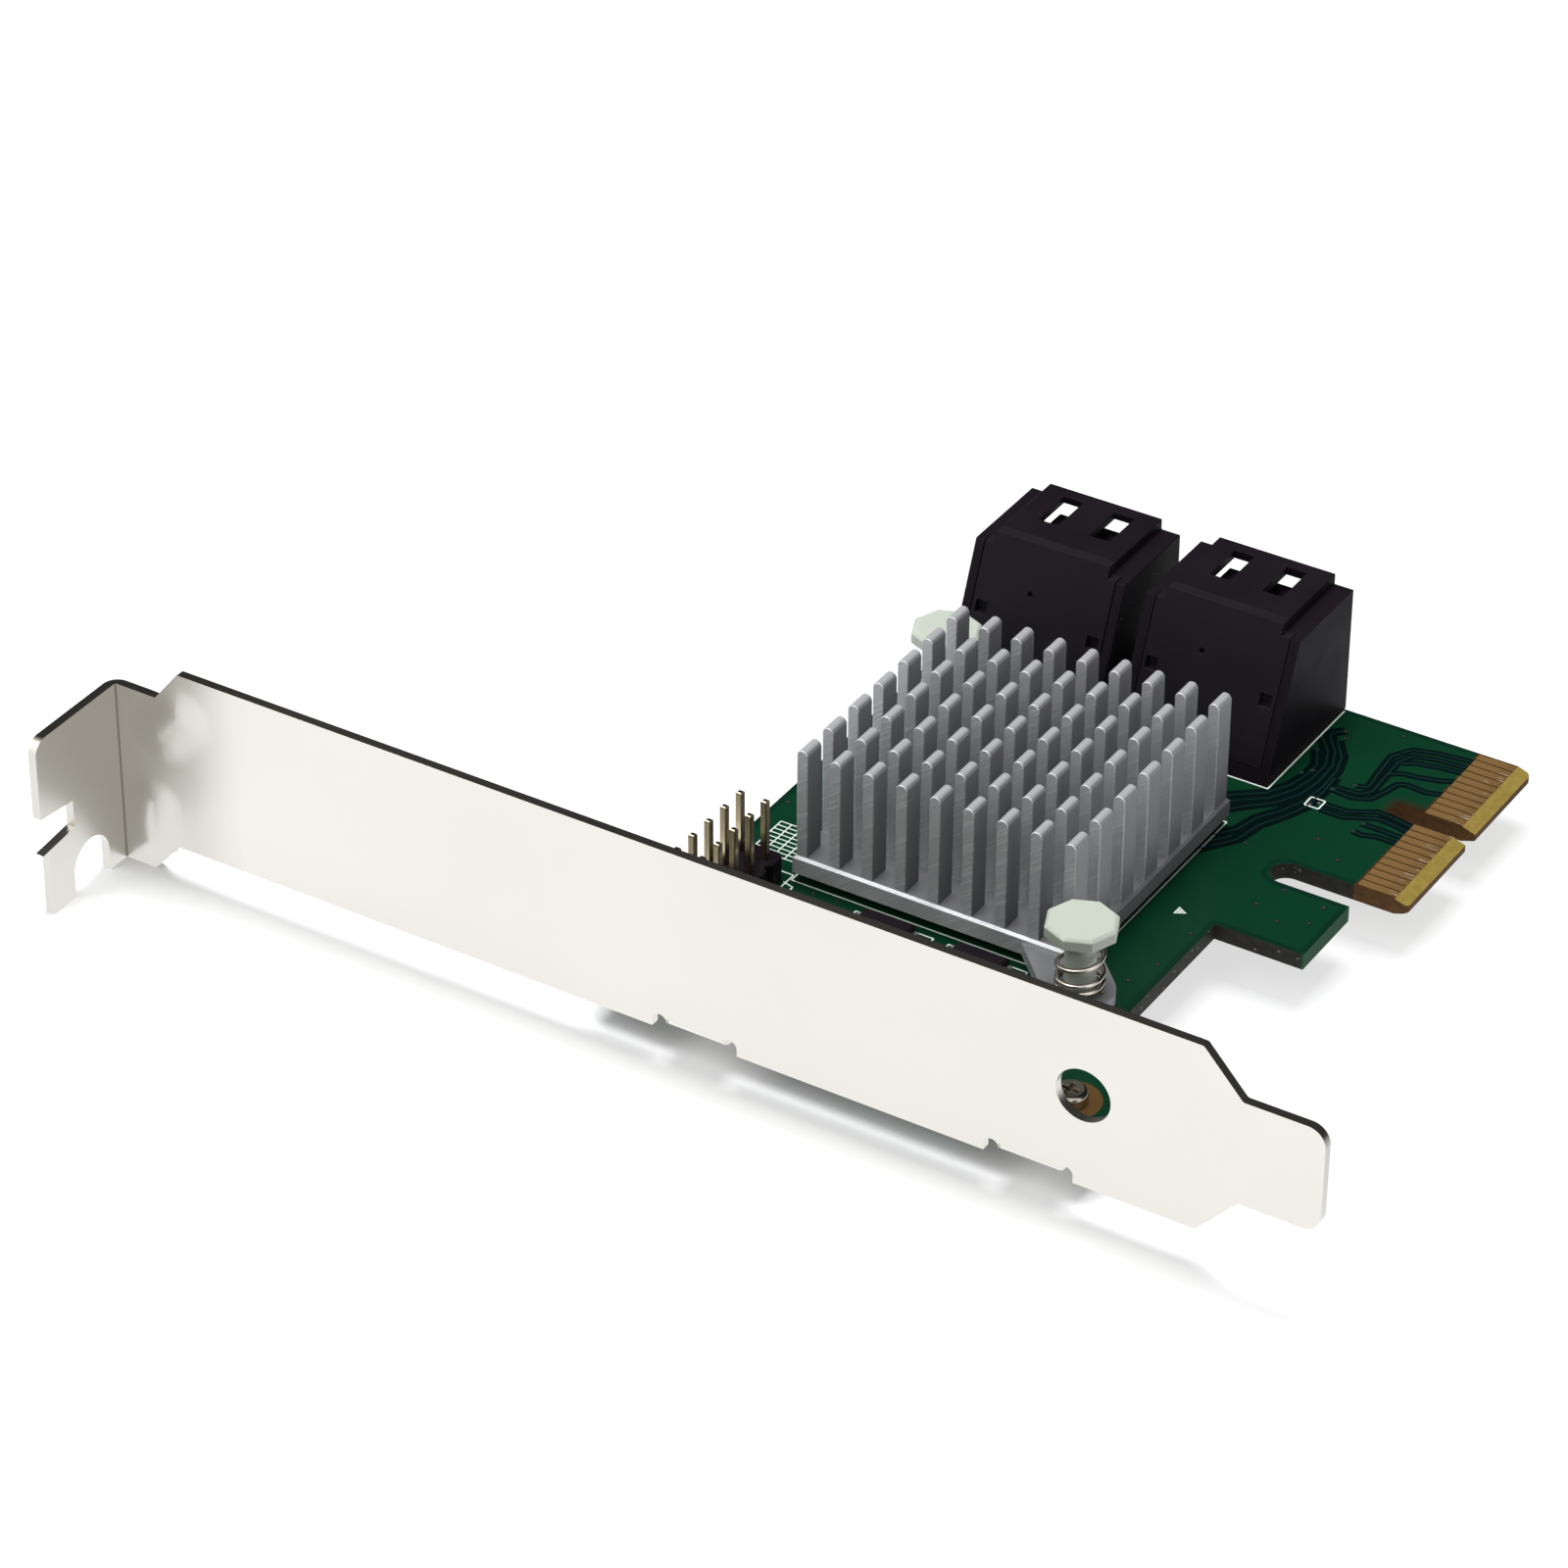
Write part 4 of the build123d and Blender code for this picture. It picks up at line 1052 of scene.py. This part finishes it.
# %% Copper tracks under the mask
CONTACT_TRACKS = [
    [(99.2, 69.6), (96.0, 69.2), (93.7, 68.5), (92.6, 66.6), (92.8, 63.6), (93.1, 61.0), (92.0, 60.6)],
    [(99.2, 68.5), (96.3, 68.2), (94.2, 67.6), (93.5, 66.1), (93.6, 63.4), (93.7, 60.6), (92.9, 59.7), (90.6, 59.5)],
    [(99.2, 67.5), (97.4, 67.3), (94.8, 66.7), (93.9, 66.0)],
    [(99.2, 66.0), (98.2, 65.4), (96.1, 64.8), (94.6, 64.6), (93.7, 63.9)],
    [(99.2, 63.5), (97.7, 63.0), (96.0, 63.2), (95.1, 62.9), (94.6, 61.0), (94.1, 59.5), (92.7, 58.8), (90.5, 59.0)],
    [(99.2, 57.5), (98.1, 57.7), (97.0, 57.9), (95.6, 58.0), (94.1, 57.1), (93.1, 56.6), (91.0, 56.6)],
    [(99.2, 56.6), (98.1, 56.9), (96.2, 57.1), (94.5, 56.3), (93.2, 55.6), (91.0, 55.7)],
    [(99.2, 55.5), (97.1, 55.6), (95.2, 55.6)],
    [(99.2, 54.5), (97.2, 54.5), (95.9, 54.0), (95.1, 54.2)],
]
DRIVE_TRACKS = [
    [(87.2, 68.1), (86.1, 66.9), (87.9, 64.6), (88.8, 62.4), (88.9, 59.4), (88.4, 56.7), (87.2, 54.5), (85.0, 52.4),
     (82.0, 49.0)],
    [(86.0, 65.9), (87.4, 64.2), (88.2, 62.2), (88.2, 59.7), (87.7, 57.3), (86.4, 54.9), (84.0, 52.9), (80.5, 49.0)],
    [(87.3, 66.2), (88.9, 64.0), (89.5, 61.8), (89.6, 58.9), (89.2, 56.0), (88.2, 53.6), (86.9, 51.5), (86.3, 49.0),
     (84.0, 46.0)],
    [(86.4, 64.0), (87.5, 61.9), (87.5, 59.9), (87.0, 57.7), (85.8, 55.5), (83.4, 53.6), (79.0, 49.0)],
    [(89.9, 60.8), (90.0, 58.2), (89.8, 55.4), (88.8, 52.9), (87.6, 50.6), (87.0, 47.6), (84.6, 44.2)],
]
band("track_clearings", clearing, CONTACT_TRACKS, 0.85, 0.004, corner=0.6)
band("drive_clearings", clearing, DRIVE_TRACKS, 1.25, 0.004, corner=0.8)
band("tracks", track, CONTACT_TRACKS, 0.16, 0.016, corner=0.6)
band("drive_tracks", track, DRIVE_TRACKS, 0.16, 0.016, corner=0.8)

# %% [markdown]
# The copper stops short of the board's outline, so the mask looks darker along every edge.
# A dark band just inside the outline shows that.

# %% Dark margin inside the outline
MARGIN = [
    (98.9, 70.9), (49.9, 70.9), (49.9, 2.3), (97.2, 2.3), (97.2, 13.7), (91.2, 13.7), (91.2, 35.6),
    (99.8, 35.6), (99.8, 43.5), (92.6, 43.5), (91.4, 44.2), (91.4, 46.5), (92.6, 47.2), (98.9, 47.2),
]
band("dark_margin", margin_dark, [MARGIN], 0.5, 0.001, corner=0.4)

# %% [markdown]
# White ink outlines show where each component goes. Only the plain outlines are drawn, as
# narrow bands a little above the mask. Words and marks are left off the card.

# %% Printed outlines
OUTLINES = [
    [(57.1, 21.5), (85.0, 21.5), (85.0, 49.5), (57.1, 49.5), (57.1, 21.5)],
    [(69.75, 70.9), (69.75, 56.05), (85.6, 56.05), (85.6, 70.9)],
    [(52.05, 70.9), (52.05, 56.05), (67.9, 56.05), (67.9, 70.9)],
    [(56.9, 22.2), (56.9, 8.4), (51.0, 8.4), (51.0, 22.2), (56.9, 22.2)],
    [(56.7, 20.9), (57.8, 20.6), (57.8, 19.6)],
    [(64.3, 20.5), (72.1, 20.5), (72.1, 14.2), (64.3, 14.2), (64.3, 20.5)],
    [(73.6, 20.5), (81.4, 20.5), (81.4, 14.2), (73.6, 14.2), (73.6, 20.5)],
    [(89.5, 55.6), (90.9, 55.6), (90.9, 57.0), (89.5, 57.0), (89.5, 55.6)],
]
POINTER = [[(87.75, 34.9), (88.55, 35.35), (87.75, 35.8), (87.75, 34.9)], [(87.8, 35.35), (88.2, 35.35)]]
GRID_LINES = [[(51.6, 23.9 + row * 0.6), (56.0, 23.9 + row * 0.6)] for row in range(9)]
GRID_LINES += [[(51.6 + column * 1.1, 23.9), (51.6 + column * 1.1, 28.7)] for column in range(5)]
band("printed_outlines", ink_white, OUTLINES, 0.16, 0.014, corner=0.1)
band("printed_grid", ink_white, GRID_LINES, 0.12, 0.014)
band("printed_pointer", ink_white, POINTER, 0.3, 0.014)
pad_spots = [spot(x, y, BOARD_TOP) for x, y in ((89.9, 56.0), (90.5, 56.6))]
pad_outline = [(0.22, -0.01), (0.22, 0.03), (0.16, 0.06), (0.0001, 0.07)]
copies("tinned_pads", tin, pad_spots, turned("tinned_pad", pad_outline), "lead_tin")

# %% [markdown]
# The set is a plain pale floor under a white sky. Behind the bracket the floor is mostly lit
# from itself for the camera, so that it reads as white; in front it takes the card's shadow.
# Mirror-like surfaces see a photographer's room instead: floor and sky are bright in front and
# at the left, and dark at the back. That is why upward faces look deep and the bracket pale.

# %% Floor and sky
def make_floor():
    """A large pale floor that keeps the object's shadow."""
    shape = bmesh.new()
    bmesh.ops.create_grid(shape, x_segments=1, y_segments=1, size=3.0)
    mesh = bpy.data.meshes.new("floor")
    shape.to_mesh(mesh)
    shape.free()
    material, bench = blank_material("pale_floor")
    paper = bench.add("ShaderNodeBsdfDiffuse", {"Color": colour(0.76, 0.765, 0.77)})
    axes = bench.axes(bench.add("ShaderNodeTexCoord").outputs["Object"])
    ray = bench.add("ShaderNodeLightPath").outputs
    # The floor as mirror-like surfaces see it
    leftwards = bench.ramp(axes["X"], -62 * MM, -30 * MM, 2.05, 1.92)
    rightwards = bench.ramp(axes["X"], 60 * MM, 76 * MM, 1.0, 0.5)
    backwards = bench.ramp(axes["Y"], -30 * MM, 50 * MM, 1.0, 0.45)
    mirrored = bench.times(bench.times(leftwards, rightwards), backwards)
    strength = bench.blend(ray["Is Glossy Ray"], 1.0, mirrored)
    tint = bench.mix(ray["Is Glossy Ray"], colour(1.0, 1.0, 1.0), colour(0.96, 0.985, 1.03))
    glow = bench.add("ShaderNodeEmission", {"Color": tint, "Strength": strength})
    # How much of that light each kind of ray sees
    seen = bench.most(ray["Is Camera Ray"], ray["Is Transmission Ray"])
    by_camera = bench.times(seen, bench.ramp(axes["Y"], -24 * MM, -16 * MM, 0.08, 0.68))
    share = bench.most(by_camera, bench.times(ray["Is Glossy Ray"], 0.85))
    both = bench.add("ShaderNodeMixShader", {0: share, 1: paper.outputs[0], 2: glow.outputs[0]})
    bench.add("ShaderNodeOutputMaterial", {"Surface": both.outputs[0]})
    mesh.materials.append(material)
    floor = stand("floor", mesh)


def make_sky():
    """White for the camera, a softer grey as light, and bright only in front for mirrors."""
    world = bpy.data.worlds.new("studio_sky")
    world.use_nodes = True
    world.node_tree.nodes.clear()
    bench = Bench(world.node_tree)
    axes = bench.axes(bench.add("ShaderNodeTexCoord").outputs["Generated"])
    ray = bench.add("ShaderNodeLightPath").outputs
    mirrored = bench.blend(ray["Is Glossy Ray"], 0.5, bench.ramp(axes["Y"], 0.35, -0.35, 0.02, 2.2))
    seen = bench.most(ray["Is Camera Ray"], ray["Is Transmission Ray"])
    strength = bench.blend(seen, mirrored, 1.0)
    sky = bench.add("ShaderNodeBackground", {"Color": colour(1.0, 1.0, 1.0), "Strength": strength})
    bench.add("ShaderNodeOutputWorld", {"Surface": sky.outputs[0]})
    bpy.context.scene.world = world


make_floor()
make_sky()
print("floor and sky ready")

# %% [markdown]
# Two soft boxes light the card: a key from the front left, which brightens the faces that the
# camera sees, and a stronger one overhead at the back, which draws the shadow forwards and is
# not seen in shiny surfaces.

# %% Soft boxes
def soft_box(name, place, size, watts, mirrored=True):
    """A square area lamp that points at the card, seen in shiny surfaces or not."""
    lamp = bpy.data.lights.new(name, "AREA")
    lamp.size = size
    lamp.energy = watts
    holder = bpy.data.objects.new(name, lamp)
    holder.location = place
    holder.rotation_euler = (Vector((0, 0, 0.005)) - Vector(place)).to_track_quat("-Z", "Y").to_euler()
    holder.visible_glossy = mirrored
    bpy.context.scene.collection.objects.link(holder)


soft_box("key_box", (-0.27, -0.40, 0.60), 0.45, 3.0)
soft_box("back_box", (-0.02, 0.12, 0.64), 0.30, 5.0, mirrored=False)
print("lamps:", len(bpy.data.lights))

# %% [markdown]
# The camera stands where the photograph's did. Its place and lens were solved from the
# bracket's standard size and the spacing of the edge contacts.

# %% Camera
lens = bpy.data.cameras.new("photo_camera")
lens.sensor_width = 36.0
lens.lens = 137.767
lens.clip_start = 0.01
camera = bpy.data.objects.new("photo_camera", lens)
camera.location = (0.22099, -0.37275, 0.30562)
camera.rotation_euler = tuple(math.radians(angle) for angle in (55.8607, -0.2179, 31.8159))
bpy.context.scene.collection.objects.link(camera)
bpy.context.scene.camera = camera
bpy.context.scene.view_settings.view_transform = "Standard"
print("camera at", tuple(round(value, 4) for value in camera.location))
